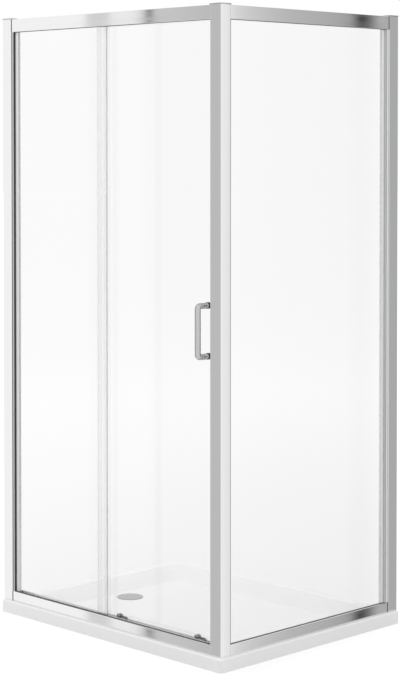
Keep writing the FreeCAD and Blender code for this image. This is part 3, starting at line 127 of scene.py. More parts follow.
@dataclass(frozen=True)
class Finish:
    """A finish with the values of one real material."""

    name: str  # the material's common name and how its surface was made
    colour: str  # its sRGB colour
    metallic: float = 0.0  # 1 for a metal
    roughness: float = 0.5  # how matt it is
    ior: float = 1.5  # refraction, for what isn't a metal
    grain: Grain = Grain.NONE  # the way its lines run
    line_mm: float = 2.0  # spacing of its lines or specks, drawn no finer than shows
    relief: float = 0.0  # strength of the lines or specks
    relief_mm: float = 0.05  # how deep they are at a strength of 1
    patch_mm: float = 60.0  # size of the patches where it is a little more or less matt
    spread: float = 0.04  # how much rougher the most matt patches are
    shade: str = ""  # sRGB colour of its darkest specks, where it isn't even
    edge: str = ""  # a metal's sRGB tint at a grazing angle: a grey tint here is painted shade that darkens its outline
    # where the unpolished inside of the profile starts, along Y in metres, or 0
    hidden: float = 0.0
    inside_matt: float = 0.6  # how matt that inside is
    inside_metal: float = 0.2  # how much of a metal it looks, under its pale oxide skin

    def material(self) -> Material:
        """Makes the material, once.

        Returns:
            The material of this finish.
        """
        made = bpy.data.materials.get(self.name)
        if made:
            return made
        made = bpy.data.materials.new(self.name)
        made.use_nodes = True
        made.diffuse_color = linear(self.colour)
        tree = made.node_tree
        shader = tree.nodes["Principled BSDF"]
        shader.inputs["Base Color"].default_value = linear(self.colour)
        shader.inputs["Metallic"].default_value = self.metallic
        shader.inputs["Roughness"].default_value = self.roughness
        if not self.metallic:
            shader.inputs["IOR"].default_value = self.ior
        # a dark edge tint paints shade on the metal's outline
        if self.edge:
            shader.inputs["Specular Tint"].default_value = linear(self.edge)
        place = add_node(tree, "ShaderNodeTexCoord").outputs["Object"]
        self.add_patches(tree, shader, place)
        if self.relief:
            self.add_relief(tree, shader, place)
        self.open_up(tree, shader)
        return made

    def add_noise(self, tree: Tree, place: Output, size_mm: float) -> Output:
        """Adds specks of a size, drawn out along the grain.

        Args:
            tree: The material's tree.
            place: The object's coordinates.
            size_mm: The size of a speck across the grain.

        Returns:
            The specks, from 0 to 1.
        """
        drawn = add_node(
            tree, "ShaderNodeMapping", values={"Scale": self.grain.value}, links={0: place}
        )
        specks = add_node(
            tree, "ShaderNodeTexNoise", values={"Scale": 1 / (size_mm * MM), "Detail": 2.0},
            links={"Vector": drawn.outputs[0]},
        )
        return specks.outputs[0]

    def add_patches(self, tree: Tree, shader: Node, place: Output) -> None:
        """Makes the gloss a little uneven, and the colour where a shade is given.

        Args:
            tree: The material's tree.
            shader: The surface.
            place: The object's coordinates.
        """
        if self.spread:
            most = self.roughness + self.spread
            gloss = add_node(
                tree, "ShaderNodeMapRange",
                values={"From Min": 0.3, "From Max": 0.7, "To Min": self.roughness, "To Max": most},
                links={"Value": self.add_noise(tree, place, self.patch_mm)},
            )
            matt = gloss.outputs[0]
            if self.hidden:
                matt = self.add_inside(tree, shader, place, matt)
            tree.links.new(matt, shader.inputs["Roughness"])
        if self.shade:
            tint = add_node(
                tree, "ShaderNodeMix", {"data_type": "RGBA"},
                {6: linear(self.colour), 7: linear(self.shade)},
                {0: self.add_noise(tree, place, self.line_mm)},
            )
            tree.links.new(tint.outputs[2], shader.inputs["Base Color"])

    def add_inside(self, tree: Tree, shader: Node, place: Output, outside: Output) -> Output:
        """Leaves the inside of a profile as the die left it: matt, because it isn't polished.

        Args:
            tree: The material's tree.
            shader: The surface.
            place: The object's coordinates.
            outside: How matt the outside is.

        Returns:
            How matt the profile is, outside and inside.
        """
        depth = add_node(tree, "ShaderNodeSeparateXYZ", links={0: place}).outputs["Y"]
        inside = add_node(
            tree, MATH, {"operation": "GREATER_THAN"}, {1: self.hidden}, {0: depth}
        ).outputs[0]
        most = add_node(
            tree, MATH, {"operation": "MULTIPLY"}, {1: self.inside_matt}, {0: inside}
        )
        matt = add_node(
            tree, MATH, {"operation": "MAXIMUM"}, links={0: outside, 1: most.outputs[0]}
        )
        bare = {1: self.inside_metal - 1.0, 2: 1.0}
        metal = add_node(tree, MATH, {"operation": "MULTIPLY_ADD"}, bare, {0: inside})
        tree.links.new(metal.outputs[0], shader.inputs["Metallic"])
        return matt.outputs[0]

    def add_relief(self, tree: Tree, shader: Node, place: Output) -> None:
        """Adds the lines or specks as a bump.

        Args:
            tree: The material's tree.
            shader: The surface that takes the bump.
            place: The object's coordinates.
        """
        bump = add_node(
            tree, "ShaderNodeBump",
            values={"Strength": self.relief, "Distance": self.relief_mm * MM},
            links={"Height": self.add_noise(tree, place, self.line_mm)},
        )
        tree.links.new(bump.outputs["Normal"], shader.inputs["Normal"])

    def open_up(self, tree: Tree, shader: Node) -> None:
        """Leaves the surface closed, as most finishes are."""


@dataclass(frozen=True)
class GlassFinish(Finish):
    """A finish that light passes through, and that bends what is seen behind it."""

    def open_up(self, tree: Tree, shader: Node) -> None:
        """Makes the surface clear, and lets lamp light through to what is behind.

        Args:
            tree: The material's tree.
            shader: The surface.
        """
        shader.inputs["Transmission Weight"].default_value = 1.0
        path = add_node(tree, "ShaderNodeLightPath")
        through = add_node(
            tree, "ShaderNodeBsdfTransparent", values={"Color": linear(self.colour)}
        )
        ends = {0: path.outputs["Is Shadow Ray"], 1: shader.outputs[0], 2: through.outputs[0]}
        surface = add_node(tree, "ShaderNodeMixShader", links=ends)
        tree.links.new(surface.outputs[0], tree.nodes["Material Output"].inputs["Surface"])


@dataclass(frozen=True)
class VeilFinish(Finish):
    """A thin, cloudy finish that shows what is behind it."""

    cover: float = 0.3  # how much it hides, from 0 to 1

    def open_up(self, tree: Tree, shader: Node) -> None:
        """Thins the surface to its cover."""
        shader.inputs["Alpha"].default_value = self.cover


# Bright anodised aluminium, drawn through a die: a clean mirror whose gloss varies a little in
# streaks along the length of each extrusion. The real die lines are finer than shows, so the
# streaks are drawn 12 mm wide. The inside of the front rails is left matt.
RAIL_ALONG_Y = Finish(
    "anodised_aluminium_along_y", "#F1F1F2", 1.0, 0.05, grain=Grain.ALONG_Y, patch_mm=12.0,
    spread=0.03,
)
RAIL_ALONG_X = replace(
    RAIL_ALONG_Y, name="anodised_aluminium_along_x", grain=Grain.ALONG_X, hidden=-0.3745
)
UPRIGHT = replace(RAIL_ALONG_Y, name="anodised_aluminium_upright", grain=Grain.ALONG_Z)
# The same alloy with a satin etch before it was anodised: soft. Its slightly darker colour is
# painted shade, for the jambs' lips that sit back in the frame.
SATIN_SHADED_UPRIGHT = replace(
    UPRIGHT, name="satin_aluminium_painted_shade", colour="#DCDDDE", roughness=0.2, spread=0.06
)
# Chrome plate on brass, polished: a hard mirror, a little darker than aluminium.
CHROME = Finish("polished_chrome_plate", "#D2D3D4", 1.0, 0.07, patch_mm=20.0, spread=0.03)
# Chrome plate on a bent brass tube, buffed to a softer shine in streaks along the bar. Its outline
# is darkened by a grey edge tint: painted shade along the tube's sides.
BUFFED_CHROME = Finish(
    "buffed_chrome_tube", "#C4C5C6", 1.0, 0.26, grain=Grain.ALONG_Z, patch_mm=3.0, spread=0.06,
    edge="#707070",
)
# Stainless sheet, brushed in one direction: grey with fine streaks.
BRUSHED_STEEL = Finish(
    "brushed_stainless_sheet", "#B4B4B5", 1.0, 0.34, grain=Grain.ALONG_X, line_mm=0.8,
    relief=0.25, shade="#A6A6A7",
)
# Zinc die casting with a dark nickel plate over its slightly wavy skin.
ZINC = Finish(
    "plated_zinc_casting", "#A5A6A8", 1.0, 0.36, line_mm=3.0, relief=0.15, patch_mm=8.0
)
# Turned stainless steel: fine rings, too small to see, that leave it satin.
STEEL = Finish("turned_stainless_steel", "#B9BABB", 1.0, 0.26, line_mm=0.6, relief=0.1)
# Moulded ABS with a satin metal coat: soft, even highlights.
CAP = Finish("satin_coated_abs", "#C3C4C5", 1.0, 0.28, line_mm=1.2, relief=0.1)
# Cast acrylic sheet, vacuum formed: white and glossy, with the faint waves of the forming.
ACRYLIC = Finish(
    "glossy_white_acrylic", "#FAFAFA", 0.0, 0.14, 1.49, line_mm=25.0, relief=0.12
)
# Chipboard: matt, pale brown and speckled.
BOARD = Finish(
    "raw_chipboard", "#B29C7C", 0.0, 0.85, line_mm=4.0, relief=0.6, shade="#80694A"
)
# EPDM rubber: black with a soft sheen and a faint grain along the strip.
RUBBER = Finish("black_epdm_rubber", "#3A3A3A", 0.0, 0.5, 1.52, line_mm=4.0, relief=0.1)
# Grey PVC of the beads pressed in beside the glass: satin, with a soft highlight.
GREY_PVC = Finish("grey_soft_pvc", "#C4C5C5", 0.0, 0.4, 1.53, line_mm=4.0, relief=0.1)
# A dark grey strip between the side glass and the corner post, which draws a dark line along the
# post's back edge.
DARK_PVC = replace(GREY_PVC, name="dark_grey_soft_pvc", colour="#868788", roughness=0.45)
# Pale PVC of the soft lips that lie on the panes: even and almost white.
PALE_PVC = replace(DARK_PVC, name="pale_soft_pvc", colour="#EBECEC")
# Bonded ferrite strip under a grey skin.
MAGNET = Finish("grey_magnetic_strip", "#BDBDBD", 0.0, 0.5, 1.5, line_mm=1.0, relief=0.2)
# Acetal: off-white, waxy and smooth, with a trace of the mould's texture.
ACETAL = Finish("white_acetal", "#E4E4E2", 0.0, 0.33, 1.48, line_mm=0.8, relief=0.1)
# Toughened float glass: clear and nearly colourless in the 5 mm that is seen here.
GLASS = GlassFinish("toughened_float_glass", "#FDFDFD", 0.0, 0.0, 1.5, spread=0.0)
# Soft PVC: clear but cloudy, so an edge strip reads as pale grey.
CLEAR_PVC = VeilFinish("clear_soft_pvc", "#E4E7E7", 0.0, 0.3, 1.53, cover=0.045)
# The same with chalk in it: milky, so the edge of the fixed glass hardly shows through.
MILKY_PVC = replace(
    CLEAR_PVC, name="milky_soft_pvc", colour="#FAFBFB", roughness=0.35, cover=0.09
)


def dress(finish: Finish, *nodes: str) -> None:
    """Gives CAD nodes their finish.

    Args:
        finish: The finish that they take.
        nodes: The nodes' names.
    """
    for name in nodes:
        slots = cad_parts[name].data.materials
        slots.clear()
        slots.append(finish.material())
    log.info("%s: %s", finish.name, ", ".join(nodes))


# ------------------------------------------------------------------- modelling helpers


class Axis(Enum):
    """The axis that a round piece is turned about, and the side its outline lies on."""

    X = ((1.0, 0.0, 0.0), (0.0, 0.0, 1.0))
    Y = ((0.0, 1.0, 0.0), (1.0, 0.0, 0.0))
    Z = ((0.0, 0.0, 1.0), (1.0, 0.0, 0.0))

    @property
    def along(self) -> Vector:
        """The axis itself."""
        return Vector(self.value[0])

    @property
    def out(self) -> Vector:
        """The way from the axis to the outline."""
        return Vector(self.value[1])


def middle_of(node: str) -> Vector:
    """The middle of a CAD node's box at rest, in millimetres."""
    low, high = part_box(node)
    return (Vector(low) + Vector(high)) / 2 / MM


def box_of(node: str) -> list[Vector]:
    """The lowest and highest corner of a CAD node at rest, in millimetres."""
    return [Vector(corner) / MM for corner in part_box(node)]


def both_sides(half: Outline) -> Outline:
    """Mirrors half an outline, which starts on the middle plane, to the other side."""
    return [*half, *((radius, -along) for radius, along in reversed(half[1:]))]


def soften(
    shape: Shape, edge_mm: float, wanted: Callable[[Edge], bool], segments: int = 3
) -> None:
    """Rounds the sharp edges of a shape.

    Args:
        shape: The shape, in millimetres.
        edge_mm: The rounding.
        wanted: Says whether an edge is rounded.
        segments: The number of facets over the rounding.
    """
    edges = [edge for edge in shape.edges if edge.is_manifold and wanted(edge)]
    bmesh.ops.bevel(
        shape, geom=edges, offset=edge_mm, offset_type="OFFSET", segments=segments, profile=0.5,
        affect="EDGES", clamp_overlap=True, material=-1,
    )


def is_sharp(edge: Edge) -> bool:
    """Says whether two faces meet at an edge at more than 40 degrees."""
    return edge.calc_face_angle(0.0) > math.radians(40)


def turn(
    centre: Vector, axis: Axis, outline: Outline, edge_mm: float = 0.0, steps: int = 64,
) -> Shape:
    """Turns an outline about an axis.

    Args:
        centre: The point that the outline is measured from, in millimetres.
        axis: The axis it turns about.
        outline: Radius and place along the axis of each corner, in millimetres.
        edge_mm: The rounding of its sharp edges.
        steps: The number of facets round it.

    Returns:
        The closed round shape, in millimetres.
    """
    shape = bmesh.new()
    points = [
        shape.verts.new(centre + axis.out * radius + axis.along * along)
        for radius, along in outline
    ]
    chain = [shape.edges.new(pair) for pair in zip(points, points[1:])]
    if outline[0][0] > 0:
        chain.append(shape.edges.new((points[-1], points[0])))
    bmesh.ops.spin(
        shape, geom=points + chain, cent=centre, axis=axis.along, angle=math.tau, steps=steps,
        use_merge=True,
    )
    bmesh.ops.remove_doubles(shape, verts=shape.verts, dist=0.0005)
    bmesh.ops.recalc_face_normals(shape, faces=shape.faces)
    if edge_mm:
        soften(shape, edge_mm, is_sharp)
    return shape


def socket(
    shape: Shape, centre: Vector, axis: Axis, width: float, depth: float, sides: int
) -> None:
    """Sinks a many-sided socket into a flat round end that has no face yet at its middle.

    Args:
        shape: The shape, in millimetres, open round the socket's rim.
        centre: The middle of the end.
        axis: The axis of the piece; the socket goes along it.
        width: The socket's width across its corners.
        depth: How far it goes in; below 0, it goes the other way.
        sides: The number of its sides.
    """
    rim = [edge for edge in shape.edges if edge.is_boundary]
    turned = axis.along.to_track_quat("Z", "Y").to_matrix().to_4x4()
    made = bmesh.ops.create_circle(
        shape, segments=sides, radius=width / 2, matrix=Matrix.Translation(centre) @ turned
    )
    inner = list({edge for vert in made["verts"] for edge in vert.link_edges})
    bmesh.ops.bridge_loops(shape, edges=rim + inner)
    sunk = bmesh.ops.extrude_edge_only(shape, edges=inner)["geom"]
    floor = [item for item in sunk if isinstance(item, bmesh.types.BMVert)]
    bmesh.ops.translate(shape, verts=floor, vec=axis.along * depth)
    bmesh.ops.contextual_create(shape, geom=floor)
    bmesh.ops.recalc_face_normals(shape, faces=shape.faces)


def soft_block(
    low: Place, high: Place, edge_mm: float, segments: int,
    wanted: Callable[[Edge], bool] = is_sharp,
) -> Shape:
    """Makes a block between two corners, with soft edges.

    Args:
        low: Its lowest corner, in millimetres.
        high: Its highest corner, in millimetres.
        edge_mm: The rounding of its edges.
        segments: The number of facets over the rounding.
        wanted: Says whether an edge is rounded.

    Returns:
        The block, in millimetres.
    """
    low, high = Vector(low), Vector(high)
    shape = bmesh.new()
    bmesh.ops.create_cube(shape, size=1.0)
    bmesh.ops.scale(shape, vec=high - low, verts=shape.verts)
    bmesh.ops.translate(shape, vec=(low + high) / 2, verts=shape.verts)
    soften(shape, edge_mm, wanted, segments)
    return shape


def part_of(node: str, *cuts: tuple[int, float, bool]) -> Shape:
    """Copies a CAD node and keeps what lies between some flat cuts.

    Args:
        node: The CAD node, which stays as it is.
        cuts: For each cut, its axis by number, its place in millimetres, and True to keep
            what lies above it.

    Returns:
        The closed part, in millimetres.
    """
    shape = bmesh.new()
    shape.from_mesh(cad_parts[node].data)
    bmesh.ops.remove_doubles(shape, verts=shape.verts, dist=1e-6)
    bmesh.ops.scale(shape, vec=Vector((1, 1, 1)) / MM, verts=shape.verts)
    for axis, place, above in cuts:
        normal = Vector((0, 0, 0))
        normal[axis] = 1.0
        cut = bmesh.ops.bisect_plane(
            shape, geom=shape.verts[:] + shape.edges[:] + shape.faces[:], dist=1e-3,
            plane_co=normal * place, plane_no=normal, clear_inner=above, clear_outer=not above,
        )
        rim = [item for item in cut["geom_cut"] if isinstance(item, Edge)]
        bmesh.ops.holes_fill(shape, edges=rim)
    return shape


def mesh_of(name: str, shape: Shape) -> bpy.types.Mesh:
    """Turns a shape into a mesh, and frees it.

    Args:
        name: The mesh's name.
        shape: The shape.

    Returns:
        The new mesh.
    """
    mesh = bpy.data.meshes.new(name)
    shape.to_mesh(mesh)
    shape.free()
    return mesh


def add_object(name: str, data: bpy.types.ID) -> bpy.types.Object:
    """Adds an object to the scene.

    Args:
        name: The object's name.
        data: Its mesh, lamp or camera.

    Returns:
        The new object.
    """
    made = bpy.data.objects.new(name, data)
    bpy.context.scene.collection.objects.link(made)
    return made


def together(*shapes: Shape) -> Shape:
    """Puts several shapes into the first one.

    Args:
        shapes: The shapes, in millimetres; all but the first are freed.

    Returns:
        The first shape, with the others in it.
    """
    whole = shapes[0]
    for other in shapes[1:]:
        step = mesh_of("step", other)
        whole.from_mesh(step)
        bpy.data.meshes.remove(step)
    return whole


def piece(
    name: str, shape: Shape, finish: Finish, body: str, replaced: Sequence[str] = ()
) -> None:
    """Makes a finished piece of a shape, and lets it ride on its body.

    Args:
        name: The piece's name.
        shape: Its shape, in millimetres; it is freed.
        finish: Its finish.
        body: The body that it moves with.
        replaced: CAD nodes that it stands for.
    """
    bmesh.ops.scale(shape, vec=Vector((MM, MM, MM)), verts=shape.verts)
    mesh = mesh_of(name, shape)
    mesh.shade_smooth()
    mesh.set_sharp_from_angle(angle=math.radians(35))
    mesh.materials.append(finish.material())
    made = add_object(name, mesh)
    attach(made, body)
    if replaced:
        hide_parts(*replaced)
    log.info("%s: %d faces, %s", name, len(mesh.polygons), finish.name)


# -------------------------------------------------------------------- sub-assemblies


@dataclass
class Tray:
    """The acrylic tray with its waste; sizes in millimetres."""

    cover_radius: float = 42.5
    cover_thick: float = 2.4
    crown: float = 0.5  # how much lower the waste cover's edge is than its middle
    cover_edge: float = 0.7
    # outer and inner radius of the stiffening ring below it
    ring: tuple[float, float] = (27.0, 25.0)
    ring_drop: float = 1.4
    foot_radius: float = 2.5
    foot_circle: float = 35.0  # radius of the circle of feet
    foot_drop: float = 1.6  # height of a foot below the cover
    foot_root: float = 0.5  # how far a foot reaches up into the cover
    foot_edge: float = 0.3
    feet: int = 3

    def dress(self) -> None:
        """Gives the tray, its board and its waste their finishes."""
        dress(ACRYLIC, "shower_tray")
        dress(BOARD, "tray_support")
        dress(CHROME, "waste_flange")
        dress(RUBBER, "waste_gasket")

    def build(self) -> None:
        """Makes the crowned waste cover with its ring and feet."""
        centre = middle_of("waste_cover")
        centre.z = box_of("waste_cover")[1].z - self.cover_thick
        outer, inner = self.ring
        crown = [
            (self.cover_radius * share, self.cover_thick - self.crown * share**2)
            for share in (0.0, 0.25, 0.5, 0.75, 1.0)
        ]
        under = [
            (self.cover_radius, 0.0), (outer, 0.0), (outer, -self.ring_drop),
            (inner, -self.ring_drop), (inner, 0.0), (0.0, 0.0),
        ]
        cover = turn(centre, Axis.Z, crown + under, self.cover_edge, steps=96)
        radius, top, drop = self.foot_radius, self.foot_root, -self.foot_drop
        outline = [(0.0, top), (radius, top), (radius, drop), (0.0, drop)]
        for number in range(self.feet):
            angle = math.radians(90 + 360 / self.feet * number)
            place = centre + Vector((math.cos(angle), math.sin(angle), 0)) * self.foot_circle
            cover = together(cover, turn(place, Axis.Z, outline, self.foot_edge, steps=24))
        piece("waste_cover_disc", cover, BRUSHED_STEEL, "waste_lid", ["waste_cover"])


@dataclass
class Frame:
    """Wall profiles, jambs, corner post, rails, caps and screws; sizes in millimetres."""

    cap_edge: float = 1.3
    # lowest and highest level of the rims on the lower and upper rails
    rim_levels: Outline = ((40.3, 70.7), (1869.3, 1909.7))
    shadow_reach: float = 3.4  # how far the black rim reaches over its rail, as painted shadow of the gap at the end plate
    rim_rise: float = 0.5  # how far it stands out from the rail
    rim_seat: float = 0.1  # how deep it is let into the rail
    rim_edge: float = 0.15
    # front rails' wall end along X, and their face along Y
    front_end: tuple[float, float] = (-458.0, -388.0)
    # side rails' face along X, and their wall end along Y
    side_end: tuple[float, float] = (488.0, 358.0)
    screw_head: float = 3.5  # radius of a jamb screw's head
    screw_rise: float = 2.2  # height of its head
    screw_shank: float = 1.75
    screw_length: float = 6.0
    screw_tip: float = 1.0
    cross: float = 3.2  # width of its recess
    cross_lip: float = 0.4  # width of the flat ring round the recess
    cross_depth: float = 1.2

    def dress(self) -> None:
        """Gives the extrusions, plates and screws their finishes."""
        dress(UPRIGHT, "wall_profile_front", "wall_profile_side", "corner_post")
        dress(SATIN_SHADED_UPRIGHT, "jamb_front", "jamb_side")
        dress(RAIL_ALONG_X, "top_rail_front", "bottom_rail_front")
        dress(RAIL_ALONG_Y, "top_rail_side", "bottom_rail_side")
        dress(RUBBER, "rail_end_plates_front", "rail_end_plates_side")
        dress(STEEL, "rail_screws_front", "rail_screws_side")

    def build(self) -> None:
        """Makes the caps and the screws that show."""
        for node in ("wall_cap_front", "wall_cap_side", "corner_post_cap"):
            self.build_cap(node)
        self.build_end_painted_shadow()
        self.build_jamb_screws("jamb_screws_front", Axis.Y, 1)
        self.build_jamb_screws("jamb_screws_side", Axis.X, -1)

    def build_cap(self, node: str) -> None:
        """Makes a cap with soft upright and top edges.

        Args:
            node: The CAD cap that it stands for.
        """
        low, high = box_of(node)

        def shows(edge: Edge) -> bool:
            """Says whether an edge isn't in the cap's underside."""
            return max(vert.co.z for vert in edge.verts) > low.z + 0.01

        cap = soft_block(low, high, self.cap_edge, 4, shows)
        piece(f"{node}_moulding", cap, CAP, "enclosure", [node])

    def build_end_painted_shadow(self) -> None:
        """Makes black rims over the rails' ends: painted shadow that widens the dark line of the
        gap at each end plate.
        """
        reach, rise, seat = self.shadow_reach, self.rim_rise, self.rim_seat
        left, front = self.front_end
        right, back = self.side_end
        rims = []
        for foot, top in self.rim_levels:
            for low, high in (
                ((left, front - rise, foot), (left + reach, front + seat, top)),
                ((right - seat, back - reach, foot), (right + rise, back, top)),
            ):
                rims.append(soft_block(low, high, self.rim_edge, 2))
        piece("rail_end_painted_shadow", together(*rims), RUBBER, "enclosure")

    def build_jamb_screws(self, node: str, axis: Axis, way: int) -> None:
        """Makes the pan-head screws that hold a jamb in its wall profile.

        Args:
            node: The CAD screws that they stand for.
            axis: The screws' axis.
            way: 1 where their heads point along the axis, -1 where against it.
        """
        low, high = box_of(node)
        seat = (low + high) / 2
        index = 1 if axis is Axis.Y else 0
        seat[index] = (high if way > 0 else low)[index] - way * self.screw_rise
        head, rise, shank = self.screw_head, self.screw_rise, self.screw_shank
        # pointed shank and pan head
        outline = [
            (0.0, -self.screw_length), (shank, self.screw_tip - self.screw_length), (shank, 0.0),
            (head, 0.0), (head, rise * 0.35), (head * 0.72, rise * 0.8),
            (self.cross / 2 + self.cross_lip, rise),
        ]
        turned = [(radius, way * along) for radius, along in outline]
        spacing = (high.z - low.z) / 2 - head
        shapes = []
        for level in (-spacing, 0.0, spacing):
            place = seat + Vector((0, 0, level))
            screw = turn(place, axis, turned, steps=32)
            top = place + axis.along * way * rise
            socket(screw, top, axis, self.cross, -way * self.cross_depth, CROSS_SIDES)
            shapes.append(screw)
        piece(f"{node}_pan_head", together(*shapes), STEEL, "enclosure", [node])


@dataclass(frozen=True)
class Strip:
    """An upright strip between the rails; sizes in millimetres."""

    name: str
    across: tuple[float, float]  # where it starts and ends along X
    depth: tuple[float, float]  # where it starts and ends along Y
    finish: Finish
    edge: float  # rounding of its edges


@dataclass
class Glazing:
    """The fixed panes with their gaskets, beads, lips and seal; sizes in millimetres."""

    front_middle: float = -377.5  # middle of the fixed glass, along Y
    side_middle: float = 477.5  # middle of the side glass, along X
    # lowest and highest level between the rails, clear of their gaskets
    levels: tuple[float, float] = (72.3, 1867.7)
    # corners of the front gasket's cover on the bottom rail
    cover: tuple[Place, Place] = ((-447.7, -387.0, 71.05), (443.9, -381.4, 72.0))
    cover_edge: float = 0.35
    # first what holds the fixed pane at the front jamb, with a black strip of painted shadow in the
    # gap beside the wall profile, then the same of the side pane, and last the dark strip at the
    # post
    strips: tuple[Strip, ...] = (
        # the black strip is painted shadow in the gap between the wall profile and the grey bead
        Strip("front_gap_painted_shadow", (-457.7, -454.4), (-386.65, -386.05), RUBBER, 0.2),
        Strip("front_bead", (-454.4, -448.0), (-387.45, -386.05), GREY_PVC, 1.0),
        Strip("front_pane_lip", (-444.9, -431.0), (-381.15, -380.05), PALE_PVC, 0.4),
        Strip("side_bead", (486.15, 487.45), (348.2, 354.6), PALE_PVC, 0.9),
        Strip("side_pane_lip", (480.05, 481.15), (331.0, 342.0), PALE_PVC, 0.4),
        Strip("side_pane_bead", (480.05, 485.9), (342.1, 347.85), GREY_PVC, 0.8),
        Strip("side_post_dark_strip", (480.05, 486.9), (-348.95, -346.2), DARK_PVC, 0.9),
    )

    def dress(self) -> None:
        """Gives panes and seal their finishes."""
        dress(GLASS, "fixed_glass", "side_glass")
        dress(MILKY_PVC, "fixed_glass_seal")

    def build(self) -> None:
        """Makes the two-part gaskets and what holds the panes at the jambs and the post."""
        self.build_front_gasket()
        self.build_side_gasket()
        for strip in self.strips:
            self.build_strip(strip)

    def build_front_gasket(self) -> None:
        """Makes the black outer half, with its cover on the rail, and the pale inner half."""
        node = "fixed_glass_gasket"
        cover = soft_block(*self.cover, self.cover_edge, 2)
        outer = together(part_of(node, (1, self.front_middle, False)), cover)
        piece("front_gasket_outer", outer, RUBBER, "enclosure", [node])
        inner = part_of(node, (1, self.front_middle, True))
        piece("front_gasket_inner", inner, PALE_PVC, "enclosure", [node])

    def build_side_gasket(self) -> None:
        """Makes the side gasket: black along the rails outside, and pale elsewhere."""
        node = "side_glass_gasket"
        outside = (0, self.side_middle, True)
        low, high = self.levels
        black = together(
            part_of(node, outside, (2, low, False)), part_of(node, outside, (2, high, True))
        )
        piece("side_gasket_outer", black, RUBBER, "enclosure", [node])
        pale = together(
            part_of(node, (0, self.side_middle, False)),
            part_of(node, outside, (2, low, True), (2, high, False)),
        )
        piece("side_gasket_inner", pale, PALE_PVC, "enclosure", [node])

    def build_strip(self, strip: Strip) -> None:
        """Makes one strip, with soft edges.

        Args:
            strip: Its place and finish.
        """
        left, right = strip.across
        front, back = strip.depth
        low, high = self.levels
        shape = soft_block((left, front, low), (right, back, high), strip.edge, 4)
        piece(strip.name, shape, strip.finish, "enclosure")


